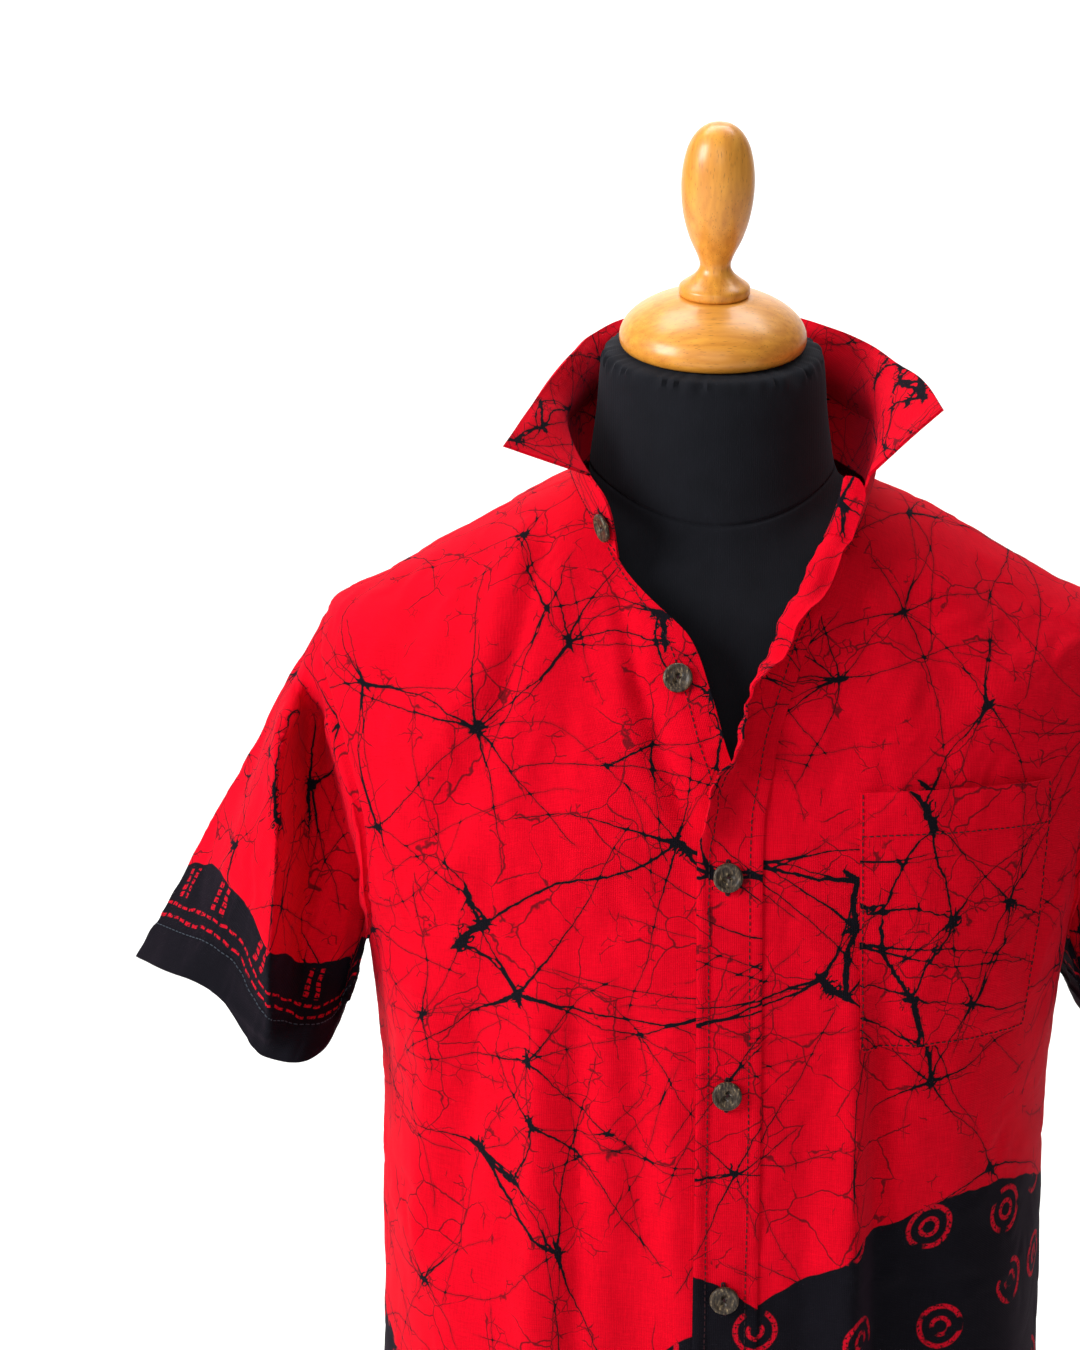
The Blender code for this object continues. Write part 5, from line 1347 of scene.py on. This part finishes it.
#    share across the leaf, share up it, weight_mm
LEAF_STARS = (
    (0.962, 0.80, 2.0), (0.925, 0.88, 2.2), (0.935, 0.45, 1.5), (0.890, 0.74, 2.2), (0.860, 0.88, 2.0),
    (0.975, 0.20, 1.2), (0.050, 0.55, 1.3), (0.110, 0.85, 1.0), (0.150, 0.30, 1.0), (0.020, 0.85, 0.8),
    (0.830, 0.60, 1.3), (0.905, 0.55, 1.5), (0.945, 0.66, 1.4), (0.820, 0.90, 1.3), (0.915, 0.30, 1.0),
)
LEAF_TRUNKS = (
    (0, 1, 1.1), (1, 3, 0.8), (0, 3, 0.9), (0, 2, 0.6), (1, 4, 1.2), (3, 4, 0.6), (2, 3, 0.5), (2, 5, 0.5), (6, 8, 0.5),
    (6, 7, 0.3), (6, 9, 0.5), (3, 5, 0.45), (4, 10, 0.5), (8, 7, 0.3), (9, 7, 0.3), (3, 11, 0.8), (11, 12, 0.6),
    (12, 1, 0.7), (12, 0, 0.6), (4, 13, 0.7), (13, 10, 0.4), (11, 14, 0.4), (14, 5, 0.4), (2, 11, 0.4),
)
collar_chance = np.random.default_rng(21)
for piece, grid, normals, seed, table, trunks in (
    (stand, stand_outer, stand_normals, 22, ((0.04, 0.5, 1.0), (0.96, 0.6, 1.6)), ((0, 1, 0.3),)),
    (leaf, leaf_outer, leaf_normals, 23, LEAF_STARS, LEAF_TRUNKS),
):
    cloth = coarse(grid, normals, 2)
    rows, columns = np.array(grid.shape[:2]) - 1
    by_hand = np.array([[*grid[round(up * rows), round(across * columns)], weight] for across, up, weight in table])
    stars = all_stars(cloth, by_hand, 0.044, (0.6, 1.3), collar_chance)
    dye(piece, grid, normals, crackle(cloth, stars, branches=45, seed=seed, trunks=trunks), stars, 0.0032, seed)

# %% [markdown]
# ## Pocket
#
# A patch pocket: a square of the same cloth with its edges pressed under, stitched down on three sides, and a wider
# hem along the open top. It follows the front's own surface, moved out by its thickness, and stands a little fuller in
# the middle. Its print is shifted against the front's, because it was cut from another place in the cloth.

# %% Pocket
POCKET_WIDTH = 0.100
POCKET_TOP = 0.703
POCKET_HEIGHT = 0.126
POCKET_INNER_X = 0.0615
POCKET_EDGE = np.array([0.0, 0.006, 0.018, 0.034, 0.055])
POCKET_COLUMNS = np.concatenate([POCKET_EDGE, np.linspace(0.09, 0.91, 36), 1 - POCKET_EDGE[::-1]])
POCKET_ROWS = np.concatenate([[0.0, 0.005, 0.014, 0.027, 0.045], np.linspace(0.075, 0.955, 44), [0.975, 0.99, 1.0]])
POCKET_HEM, POCKET_STITCH_IN = 0.0215, 0.0022
POCKET_FULL, FULL_REACH = 0.0020, 0.030        # how far it stands off in the middle, and how far from a sewn side
POCKET_GAPE, GAPE_REACH = 0.0008, 0.02         # and how much more at its open top
POCKET_PUCKERS = (0.0100, 1.0, 0.02)
START_ANGLE = -18.0           # a first guess for the pocket's inner edge, in degrees
METRES_A_DEGREE = 0.0033      # how far the front's surface moves in x with a degree there
POCKET_RADIUS = 0.172         # the front's mean radius of curvature under the pocket


def pocket_grid():
    """Outer points and normals: the front's surface at the angles and levels whose places make a rectangle, found
    by correcting both 12 times, then moved out by two cloths at the edges and by 2 mm more in the middle."""
    share = POCKET_COLUMNS[None]
    height = (POCKET_TOP - POCKET_HEIGHT * (1 - POCKET_ROWS))[:, None]
    level = height + 0.04 + 0 * share
    start = START_ANGLE + 0 * level
    for _correction in range(12):
        inner_edge = shirt(start, level)
        start = start + (inner_edge[..., 0] - POCKET_INNER_X) / METRES_A_DEGREE
        angle = start - share * np.degrees(POCKET_WIDTH / POCKET_RADIUS)
        level = level + (height - shirt(angle, level)[..., 2])
    normals = normal_of(shirt, angle, level)
    on_cloth = draped(angle, level)
    width_m, height_m = share * POCKET_WIDTH, POCKET_ROWS[:, None] * POCKET_HEIGHT
    from_sewn = np.minimum(np.minimum(width_m, POCKET_WIDTH - width_m), height_m + 0 * width_m)
    to_top = POCKET_HEIGHT - height_m
    full = POCKET_FULL * smooth_step(from_sewn / FULL_REACH)
    gape = POCKET_GAPE * smooth_step(1 - to_top / 0.03) * smooth_step(from_sewn / GAPE_REACH)
    pucker = puckers(width_m + 1.3 * height_m, *POCKET_PUCKERS, height_m)
    drawn_in = stitch_dip(from_sewn - POCKET_STITCH_IN, 0.00025, 0.00025, pucker)
    drawn_in = drawn_in + stitch_dip(to_top - POCKET_HEM, 0.0004, 0, 0)
    hem = 0.0004 * smooth_step((POCKET_HEM - to_top) / 0.001)
    pressed = 0.0003 * (1 - smooth_step(from_sewn / PRESSED))
    lift = DOUBLE_LIFT + full + gape + hem - drawn_in - pressed
    return on_cloth + normals * lift[..., None], normals


pocket_outer, pocket_directions = pocket_grid()
pocket_normals = grid_normals(pocket_outer)
pocket_inner = pocket_outer - pocket_directions * CLOTH
pocket = shell("pocket_cotton", pocket_outer, pocket_inner, cut_uv(pocket_outer, 0, 1) + 0.5, plain_batik)
dye(pocket, pocket_outer, pocket_normals, body_web, body_stars, 0.0030, 5, shift=(0.0060, 0.0, 0.0060))

# %% [markdown]
# ## Stitches
#
# A lockstitch shows as a row of short bars of thread, each pulled into the cloth at its ends. There are many hundred,
# so a stitch has sixteen faces: two points in the cloth and two squares of four points between them. All stitches of
# one line are made at once and put into one mesh.

# %% Stitches
def spun_thread(name, dark_hex, light_hex):
    """Matt polyester thread, speckled between two colours by a fine noise."""
    thread = new_material(name, Roughness=0.8, Specular_IOR_Level=0.1)
    node = partial(add_node, thread)
    speckle = node("TexNoise", node("TexCoord", out="Object"), Scale=900.0)
    fill_shader(thread, Base_Color=node("Mix RGBA", speckle, linear(dark_hex), linear(light_hex)))
    return thread


dark_thread = spun_thread("spun_polyester_thread_charcoal", "#1C1014", "#43262B")
pale_thread = spun_thread("spun_polyester_thread_slate", "#2B3138", "#4A525C")
STITCH = 0.0027
STITCH_GAP = 0.0006
THREAD_RADIUS = 0.00028
FIRST_STITCH = 0.0008         # where the first stitch starts on its line
ENDS_DEEP = 0.0002            # how far a stitch's ends lie in the cloth
SQUARES_AT = (0.18, 0.82)     # the shares of its length where its squares stand
#    the sixteen faces of one stitch: 0 is its start, 1 to 4 and 5 to 8 its squares, and 9 its end
STITCH_FACES = np.array([
    face for this, after in ((1, 2), (2, 3), (3, 4), (4, 1))
    for face in ((0, after, this), (this, after, after + 4), (this, after + 4, this + 4), (9, this + 4, after + 4))
])


def along_line(points, normals, run_step, length):
    """The two ends of every stitch on a line, `length` apart and one every run_step metres, and its normal."""
    run = run_along(points)
    starts = np.arange(FIRST_STITCH, run[-1] - length, run_step)
    at = [np.stack([np.interp(s, run, column) for column in points.T], 1) for s in (starts, starts + length)]
    facing = np.stack([np.interp(starts + length / 2, run, column) for column in normals.T], 1)
    return at[0], at[1], unit(facing)


def stitches(name, lines, thread, length=STITCH, pitch=STITCH + STITCH_GAP, radius=THREAD_RADIUS):
    """One mesh of all stitches on some lines, where a line is (points, normals) on the cloth's face. A stitch runs
    from a to b: both ends lie in the cloth, and at 18% and 82% of its length a square of thread stands on it."""
    parts = [along_line(points, normals, pitch, length) for points, normals in lines]
    a, b, facing = (np.concatenate(group) for group in zip(*parts))
    along = unit(b - a)
    aside = unit(np.cross(facing, along))
    rows = [a - facing * ENDS_DEEP]
    for share in SQUARES_AT:
        middle = a * (1 - share) + b * share + facing * radius * 0.55
        for angle in math.pi * np.array([0.25, 0.75, 1.25, 1.75]):
            rows.append(middle + radius * 1.25 * (math.cos(angle) * aside + math.sin(angle) * facing))
    rows.append(b - facing * ENDS_DEEP)
    points = np.stack(rows, 1)
    every = STITCH_FACES + len(rows) * np.arange(len(points))[:, None, None]
    return make_mesh(name, points.reshape(-1, 3), every.reshape(-1, 3), thread)


def line_at(grid, normals, distance, axis):
    """The line on a grid that lies `distance` from its first row (axis 0) or column (axis 1), or from the last
    where the distance is below 0."""
    if distance < 0:
        grid, normals = np.flip(grid, axis), np.flip(normals, axis)
    run = runs_of(grid, axis)
    if axis == 0:
        run, grid, normals = run.T, grid.swapaxes(0, 1), normals.swapaxes(0, 1)
    k = np.clip((run < abs(distance)).sum(axis=1) - 1, 0, run.shape[1] - 2)
    row = np.arange(len(run))
    share = ((abs(distance) - run[row, k]) / np.maximum(run[row, k + 1] - run[row, k], 1e-9))[:, None]
    return grid[row, k] * (1 - share) + grid[row, k + 1] * share, normals[row, k]


def closed_line(line):
    """A line that goes on to its own first point."""
    return tuple(np.concatenate([part, part[:1]]) for part in line)


FRONT_BAND_STITCH = 0.0125
BODY_HEM = 0.0085
STAND_STITCH = 0.0035
placket_lines = [line_at(band, band_normals, way * STITCH_IN, 1) for way in (1, -1)]
placket_stitches = stitches("placket_stitches", placket_lines, dark_thread)
upper = slice(int(np.searchsorted(PANEL_LEVELS, 0.70)), None)
front_line = line_at(right_grid, right_normals, FRONT_BAND_STITCH, 1)
front_stitches = stitches("front_edge_stitches", [tuple(part[upper] for part in front_line)], dark_thread)
hem_stitches = stitches("hem_stitches", [line_at(*panel, BODY_HEM, 0) for panel in PANELS], pale_thread)
cuff_stitches = [
    stitches(f"cuff_stitches_{side}", [closed_line(line_at(*sleeve, -CUFF_FOLD, 0))], pale_thread)
    for side, *sleeve in (("right", right_sleeve_grid, right_sleeve_normals),
                          ("left", left_sleeve_grid, left_sleeve_normals))
]
near_top = runs_of(leaf_outer, 1)[-3]
inside = (near_top > LEAF_STITCH_IN) & (near_top < near_top[-1] - LEAF_STITCH_IN)
up_leaf = runs_of(leaf_outer, 0)[:, 0]
below = up_leaf < up_leaf[-1] - LEAF_STITCH_IN
leaf_lines = [
    tuple(part[kept] for part in line_at(leaf_outer, leaf_normals, distance, axis))
    for distance, axis, kept in ((-LEAF_STITCH_IN, 0, inside), (LEAF_STITCH_IN, 1, below), (-LEAF_STITCH_IN, 1, below))
]
leaf_stitches = stitches("leaf_stitches", leaf_lines, pale_thread)
stand_stitches = stitches("stand_stitches", [line_at(stand_outer, stand_normals, STAND_STITCH, 0)], dark_thread)


def pocket_line(distance):
    """The pocket's three sewn sides at a distance from its edge, as one line: down, across and up."""
    down, foot, up = (line_at(pocket_outer, pocket_normals, d, axis)
                      for d, axis in ((distance, 1), (distance, 0), (-distance, 1)))
    rows = POCKET_ROWS * POCKET_HEIGHT > distance
    columns = np.abs(POCKET_COLUMNS - 0.5) * POCKET_WIDTH < POCKET_WIDTH / 2 - distance
    return [np.concatenate([down[k][rows][::-1], foot[k][columns], up[k][rows]]) for k in (0, 1)]


pocket_hem_line = line_at(pocket_outer, pocket_normals, -POCKET_HEM, 0)
pocket_stitches = stitches("pocket_stitches", [pocket_line(0.0012), pocket_hem_line], dark_thread)

# %% [markdown]
# ## Buttons and buttonholes
#
# Coconut shell buttons are sawn from the shell and turned: a rim, a shallow dish and two holes. Each is a height
# worked out over the disc, closed below. The thread is three short strands across the dish, and each buttonhole is a
# long oval ring of close stitches round a slit.

# %% Coconut shell
coconut = new_material("turned_coconut_shell", Roughness=0.42, Specular_IOR_Level=0.3)
node = partial(add_node, coconut)
drawn_out = node("Mapping", node("TexCoord", out="Object"), Scale=(1.0, 1.0, 0.28))
fibres = node("TexNoise", drawn_out, Scale=1100.0, Detail=3.0)
flecks = node("ValToRGB", fibres)
ramp = flecks.node.color_ramp.elements
for spot, hex_colour in ((0.34, "#1E1712"), (0.52, "#40352A"), (0.64, "#5E4F3C"), (0.76, "#B9A27A")):
    ramp.new(spot).color = linear(hex_colour)
ramp.remove(ramp[0])
ramp.remove(ramp[-1])
fill_shader(coconut, Base_Color=flecks, Normal=node("Bump", Height=fibres, Strength=0.3, Distance=0.0001))
print("coconut shell:", len(ramp), "colours")

# %% Buttons
BUTTON_RADIUS = 0.0073
BUTTON_THICKNESS = 0.0026
HOLE_APART = 0.0029
HOLE_RADIUS = 0.00135
HOLE_DEPTH = 0.0015
STRAND_APART = 0.00028
BUTTON_SIDES = 44
FACE_ROWS = 14                # the rows of the profile that can be seen, from the middle to the rim
#    share of the radius, share of the thickness
BUTTON_PROFILE = (
    (0.02, 0.62), (0.12, 0.62), (0.22, 0.62), (0.32, 0.625), (0.42, 0.64), (0.52, 0.67), (0.60, 0.72), (0.67, 0.82),
    (0.74, 0.94), (0.81, 1.00), (0.88, 0.99), (0.945, 0.90), (0.985, 0.72), (1.00, 0.50), (0.985, 0.28), (0.93, 0.09),
    (0.84, 0.00), (0.40, 0.00), (0.02, 0.00),
)


def frame_on(direction, up=(0.0, 0.0, 1.0)):
    """Three square directions: aside, upright and out."""
    out = unit(np.asarray(direction, float))
    aside = unit(np.cross(np.array(up), out))
    return aside, np.cross(out, aside), out


def button(name, place, direction, holes_turned):
    """A button on a place: rings of the profile round its axis, pressed down at two holes by a steep bell."""
    aside, upright, out = frame_on(direction)
    radius, height = (np.array(BUTTON_PROFILE) * [BUTTON_RADIUS, BUTTON_THICKNESS]).T[:, :, None]
    turn = np.arange(BUTTON_SIDES) * 2 * math.pi / BUTTON_SIDES
    x, y = radius * np.cos(turn), radius * np.sin(turn)
    face = (np.arange(len(BUTTON_PROFILE)) < FACE_ROWS)[:, None]
    hole = HOLE_APART / 2 * np.array([math.cos(holes_turned), math.sin(holes_turned)])
    bores = [np.exp(-((((x - hx) ** 2 + (y - hy) ** 2) / HOLE_RADIUS**2) ** 2)) for hx, hy in (-hole, hole)]
    z = height - face * HOLE_DEPTH * sum(bores)
    piece = tube(name, places(place, (aside, upright, out), x, y, z)[::-1], coconut)
    to_hole = hole[0] * aside + hole[1] * upright
    beside = (hole[0] * upright - hole[1] * aside) * STRAND_APART / (HOLE_APART / 2)
    dish = place + out * (BUTTON_THICKNESS * BUTTON_PROFILE[0][1] + 0.0001)
    strands = [(np.array([dish - to_hole, dish + to_hole]) + k * beside, np.stack([out, out])) for k in (-1, 0, 1)]
    sewn = stitches(f"{name}_thread", strands, dark_thread, length=HOLE_APART - 0.0009, pitch=1.0, radius=0.00020)
    return [piece, sewn]


HOLE_STITCHES, RIB_SIDES = 56, 8
HOLE_HALF_WIDTH, HOLE_ROUND = 0.00085, 0.0009  # of the ring's middle line, and how far its ends are rounded
RIB_RADIUS, RIB_UNEVEN, RIB_FLAT = 0.00055, 0.00006, 0.7       # every other stitch is thicker, and all are flat


def buttonhole(name, place, direction, up, length=0.0175):
    """A long oval ring of close stitches: a half-round rib carried round a slit."""
    turn = (np.arange(HOLE_STITCHES) * 2 * math.pi / HOLE_STITCHES)[:, None]
    straight = length / 2 - 0.0012
    path_x = HOLE_HALF_WIDTH * np.cos(turn)
    path_y = np.clip(1.6 * np.sin(turn), -1, 1) * straight + HOLE_ROUND * np.sin(turn)
    lean = np.linspace(-math.pi * 0.5, math.pi * 1.5, RIB_SIDES + 1)[:-1]
    rib = RIB_RADIUS + RIB_UNEVEN * (np.arange(HOLE_STITCHES) % 2)[:, None]
    x = path_x + rib * np.cos(lean) * np.cos(turn)
    y = path_y + rib * np.cos(lean) * np.sin(turn)
    z = rib * RIB_FLAT * np.sin(lean)
    points = places(place, frame_on(direction, up), x, y, z)
    numbers = np.pad(np.arange(x.size).reshape(x.shape), (0, 1), "wrap")
    return make_mesh(name, points.reshape(-1, 3), quads_of(numbers)[:, ::-1], dark_thread)


V_BUTTON_ANGLE = 11.5
V_BUTTON_LEVEL = 0.8243
PLACKET_BUTTON_HEIGHTS = (0.664, 0.558, 0.452, 0.346, 0.240)
BUTTON_LIFT, HOLE_LIFT = 0.0007, 0.0001
button_pieces = []
low, high = stand_outer[0, 3:7].mean(axis=0), stand_outer[-1, 3:7].mean(axis=0)
facing = unit(np.cross(high - low, stand_outer[0, 6] - stand_outer[0, 3]))
facing = facing * np.sign(facing @ stand_thick[5])
button_pieces.append(button("collar_button", low * 0.6 + high * 0.4 + facing * 2 * BUTTON_LIFT, facing, 0.4))
v_place = (np.array([V_BUTTON_ANGLE]), np.array([V_BUTTON_LEVEL]))
v_facing = normal_of(shirt, *v_place)[0]
button_pieces.append(button("neck_button", draped(*v_place)[0] + v_facing * BUTTON_LIFT, v_facing, 1.2))
middle_points, middle_normals = line_at(band, band_normals, 0.0171, 1)
holes = []
for number, height in enumerate(PLACKET_BUTTON_HEIGHTS, start=1):
    k = int(np.searchsorted(middle_points[:, 2], height)) - 1
    step, facing = middle_points[k + 1] - middle_points[k], middle_normals[k]
    spot = middle_points[k] + step * (height - middle_points[k, 2]) / step[2]
    button_pieces.append(button(f"placket_button_{number}", spot + facing * BUTTON_LIFT, facing, 0.5 * number))
    holes.append(buttonhole(f"buttonhole_{number}", spot + facing * HOLE_LIFT, facing, unit(step)))
print(len(button_pieces), "buttons,", len(holes), "buttonholes on the placket")


# %% [markdown]
# ## The dress form
#
# A counter form is a padded torso covered in stretch jersey, gathered at the neck under a turned wooden cap. The torso
# is a stack of rings, half an ellipse in front and half at the back. Jersey is knitted, so it is matt and shows fine
# ribs; a seam runs round the foot of the neck, and small gathers run up to the cap.

# %% Black jersey
jersey = new_material("knitted_cotton_jersey_black", Roughness=0.92, Specular_IOR_Level=0.12, Sheen_Weight=0.06,
                      Sheen_Roughness=0.5, Sheen_Tint=linear("#B9BCCB"))
node = partial(add_node, jersey)
place = node("TexCoord", out="Object")
lint = node("TexNoise", place, Scale=60.0, Detail=6.0)
# Wales lie 0.7 mm apart; they are drawn at 1.1 mm, which is as fine as the picture can hold.
wales = node("TexWave X", place, Scale=WAVE_SCALE / 0.0011, Distortion=1.5, Detail=1.0, Detail_Scale=1.0, out="Fac")
fill_shader(jersey, Base_Color=node("Mix RGBA", lint, linear("#0F1014"), linear("#191A20")),
            Normal=node("Bump", Height=wales, Strength=0.35, Distance=0.00015))
print("jersey:", jersey.name)

# %% Torso and neck
#    level, half_width, front_depth, back_depth, slant, front_dip
FORM_RINGS = in_metres((
    (225, 155, 107, 105, 0, 0), (238, 161, 113, 110, 0, 0), (320, 162, 115, 110, 0, 0), (400, 154, 110, 99, 0, 0),
    (460, 152, 112, 96, 0, 0), (540, 159, 119, 104, 0, 4), (620, 166, 123, 112, 0, 14), (690, 171, 118, 115, 0, 34),
    (740, 175, 110, 111, 0, 50), (772, 176.5, 105, 104, 0, 62), (788, 173, 100, 96, 0.5, 64),
    (797, 164, 96, 88, 1, 62), (812.6, 142, 89, 78, 1.5, 56), (829.6, 111, 80, 68, 2, 46),
    (838.5, 81.5, 73.5, 63, 4, 36), (849, 65.5, 68, 59.5, 7, 24), (864, 62.8, 63.5, 57.2, 10, 10),
    (884, 60.2, 60.5, 56.8, 13, 2), (905, 58.5, 57.5, 56.2, 14.5, 0), (912.5, 56, 55, 55, 14.5, 0),
    (914.2, 50, 49, 49, 14.5, 0),
))
NECK_OFFSET_X, NECK_BOTTOM, NECK_TALL = -0.004, 0.830, 0.030   # the neck leans a little aside above its bottom
NECK_TILT = math.atan2(FORM_RINGS[-1][4], FORM_RINGS[-1][2])
NECK_SEAM_LEVEL = 0.8540
CAP_LEVEL = FORM_RINGS[-1][0]
SEAM_DEPTH, SEAM_WIDTH = 0.0011, 0.0005
PUFF, PUFF_AWAY, PUFF_WIDTH = 0.0001, 0.0022, 0.0014   # the jersey swells beside the seam
GATHERS, GATHER_LEVELS = 46, (0.9035, 0.009)           # small pleats round the neck, where they begin, over what
TORSO_LEVELS = np.unique(np.concatenate([
    np.linspace(0.225, 0.80, 60), np.linspace(0.80, CAP_LEVEL, 90), NECK_SEAM_LEVEL + np.linspace(-1, 1, 17) * 0.0016
]))
NECK_SEAM_ROW = int(np.abs(TORSO_LEVELS - NECK_SEAM_LEVEL).argmin())


def torso_rings(sides=168):
    """Rings of half an ellipse in front and half at the back, tilted and dipped as the table says. A seam draws
    the neck in at its foot, and the gathers are a sine of the turn that grows towards the cap."""
    levels = TORSO_LEVELS[:, None]
    turn = np.arange(sides)[None] * 2 * math.pi / sides
    half_width, front, back, slant, front_dip = table_columns(FORM_RINGS, levels[:, 0])[:, :, None]
    off_seam = np.abs(levels - NECK_SEAM_LEVEL)
    seam = SEAM_DEPTH * bell(off_seam / SEAM_WIDTH)
    puffed = PUFF * bell((off_seam - PUFF_AWAY) / PUFF_WIDTH)
    depth = 0.0006 + 0.0010 * np.sin(3 * turn + 0.7) ** 2
    uneven = 2.6 * np.sin(5 * turn) + 2.0 * np.sin(13 * turn)
    gather = depth * step_from(levels, *GATHER_LEVELS) * np.sin(GATHERS * turn + uneven)
    swell = puffed - seam + gather
    cosine = np.cos(turn)
    x = -(half_width + swell) * np.sin(turn) + NECK_OFFSET_X * step_from(levels, NECK_BOTTOM, NECK_TALL)
    y = -(np.where(cosine > 0, front, back) + swell) * cosine
    z = levels - slant * cosine - front_dip * np.where(cosine > 0, cosine, 0) ** 2
    return np.stack([x, y, z], -1)


torso_points = torso_rings()
torso = tube("jersey_torso", torso_points[:, ::-1], jersey)
seam_ring = torso_points[NECK_SEAM_ROW] + [0, 0, 0.0009]
neck_stitches = stitches("neck_seam_stitches", [closed_line((seam_ring, unit(seam_ring * [1, 1, 0])))], pale_thread,
                         length=0.0012, pitch=0.0024, radius=0.00016)
print("torso:", len(torso.data.polygons), "faces")

# %% [markdown]
# ## Beech
#
# The cap, finial, pole and base are turned on a lathe and varnished. Beech is plain and even, with short dark flecks
# where the rays are cut through, and a honey varnish lies over it as a clear coat. The grain is a noise drawn out along
# the wood: up the finial and the pole, and across the cap and the base, which are cut from boards.

# %% Varnished beech
def varnished_beech(name, stretch):
    """Beech under a clear varnish, with a grain noise and ray flecks that are stretched where stretch is small."""
    beech = new_material(name, Roughness=0.45, Coat_Weight=0.45, Coat_Roughness=0.22)
    node = partial(add_node, beech)
    long_grain = node("Mapping", node("TexCoord", out="Object"), Scale=stretch)
    broad = node("TexNoise", long_grain, Scale=330.0, Detail=5.0)
    wood = node("Mix RGBA", node("MapRange", broad, 0.20, 0.80), linear("#C87A22"), linear("#F0A83C"))
    fleck = node("MapRange", node("TexVoronoi", long_grain, Scale=1150.0), 0.10, 0.24, 0.60, 0.0)
    fill_shader(beech, Base_Color=node("Mix RGBA", fleck, wood, linear("#7E4212")),
                Normal=node("Bump", Height=broad, Strength=0.12, Distance=0.0003))
    return beech


upright_beech = varnished_beech("turned_varnished_beech", (1.0, 0.75, 0.13))
flat_beech = varnished_beech("turned_varnished_beech_flat", (0.10, 0.80, 1.0))

# %% Turned wood
#    radius, height
CAP_PROFILE = in_metres((
    (44, 0), (47.5, 1.2), (48.8, 4.8), (48, 9.5), (45, 14.5), (39.2, 19.5), (30.5, 24.2), (20.5, 27.5),
))
FINIAL_PROFILE = in_metres((
    (17.6, 0), (18.4, 1.2), (18.4, 4), (17.2, 5.6), (13.2, 8.4), (9.4, 12), (8, 16), (9.6, 21.4), (13.6, 30),
    (16.8, 40.5), (18.5, 52.5), (18.3, 64.5), (16, 75.7), (11.8, 83.4), (6.4, 87.6), (2.2, 88.6), (0.4, 88.8),
))
BASE_PROFILE = in_metres((
    (146, 0), (149.5, 1.5), (150, 4), (150, 15), (149.2, 18), (146, 21), (142, 23), (136, 24), (34, 24),
))
# The pole keeps a seam gap from the base below it and the torso above it.
POLE_PROFILE = in_metres((
    (30, 24.3), (30, 29), (26.2, 32.5), (23, 34), (18, 36.5), (16, 39), (16, 202), (19, 206), (23, 210), (26, 216),
    (26, 224.7),
))


def turned(name, profile, foot, axis, rows, wood, sides=96):
    """A profile of (radius, height) points carried round an axis: a Catmull-Rom curve through the points, and
    straight on to the hub at both ends."""
    radius, height = curve_through(profile, np.linspace(0, 1, rows)).T[..., None]
    turn = np.arange(sides) * 2 * math.pi / sides
    ways = radius * np.cos(turn), radius * np.sin(turn), height
    return tube(name, places(foot, frame_on(axis, (0.0, 1.0, 0.0)), *ways), wood)


neck_axis = np.array([0.0, -math.sin(NECK_TILT), math.cos(NECK_TILT)])
cap_foot = np.array([NECK_OFFSET_X, 0.0, CAP_LEVEL]) + neck_axis * SEAM_GAP
finial_foot = cap_foot + neck_axis * (CAP_PROFILE[-1][1] + SEAM_GAP)
cap = turned("beech_neck_cap", CAP_PROFILE, cap_foot, neck_axis, 57, flat_beech)
finial = turned("beech_finial", FINIAL_PROFILE, finial_foot, neck_axis, 105, upright_beech, 72)
pole = turned("beech_pole", POLE_PROFILE, (0.0, 0.0, 0.0), (0.0, 0.0, 1.0), 81, upright_beech, 64)
base = turned("beech_base", BASE_PROFILE, (0.0, 0.0, 0.0), (0.0, 0.0, 1.0), 65, flat_beech, 128)
print("turned pieces:", [o.name for o in (cap, finial, pole, base)])

# %% [markdown]
# ## Putting the pieces in place
#
# Each piece moves with the root, and the solid it stands for is hidden, as are the buttons' solids. The table also
# names each piece's finish, which nothing here reads.

# %% What each piece stands for
STANDS_FOR = (
    (front_right, "shirt_front_right", "batik_cotton"),
    (front_left, "shirt_front_left", "batik_cotton"),
    (back, "shirt_back", "batik_cotton"),
    (sleeve_right, "shirt_sleeve_right", "batik_cotton"),
    (sleeve_left, "shirt_sleeve_left", "batik_cotton"),
    (stand, "shirt_collar_stand", "batik_cotton"),
    (leaf, "shirt_collar_leaf", "batik_cotton"),
    (placket, "shirt_placket", "batik_cotton"),
    (pocket, "shirt_pocket", "batik_cotton"),
    (torso, "form_torso", "black_jersey"),
    (cap, "form_neck_cap", "varnished_beech"),
    (finial, "form_finial", "varnished_beech"),
    (pole, "form_pole", "varnished_beech"),
    (base, "form_base", "varnished_beech"),
)
for piece, node, finish in STANDS_FOR:
    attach(piece, "root")
    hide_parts(node)
for number, (piece, thread_piece) in enumerate(button_pieces, start=1):
    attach(piece, "root")
    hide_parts(f"button_{number}")
    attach(thread_piece, "root")
sewing = [placket_stitches, front_stitches, hem_stitches, leaf_stitches, stand_stitches, pocket_stitches]
sewing += cuff_stitches + holes
for piece in sewing:
    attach(piece, "root")
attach(neck_stitches, "root")
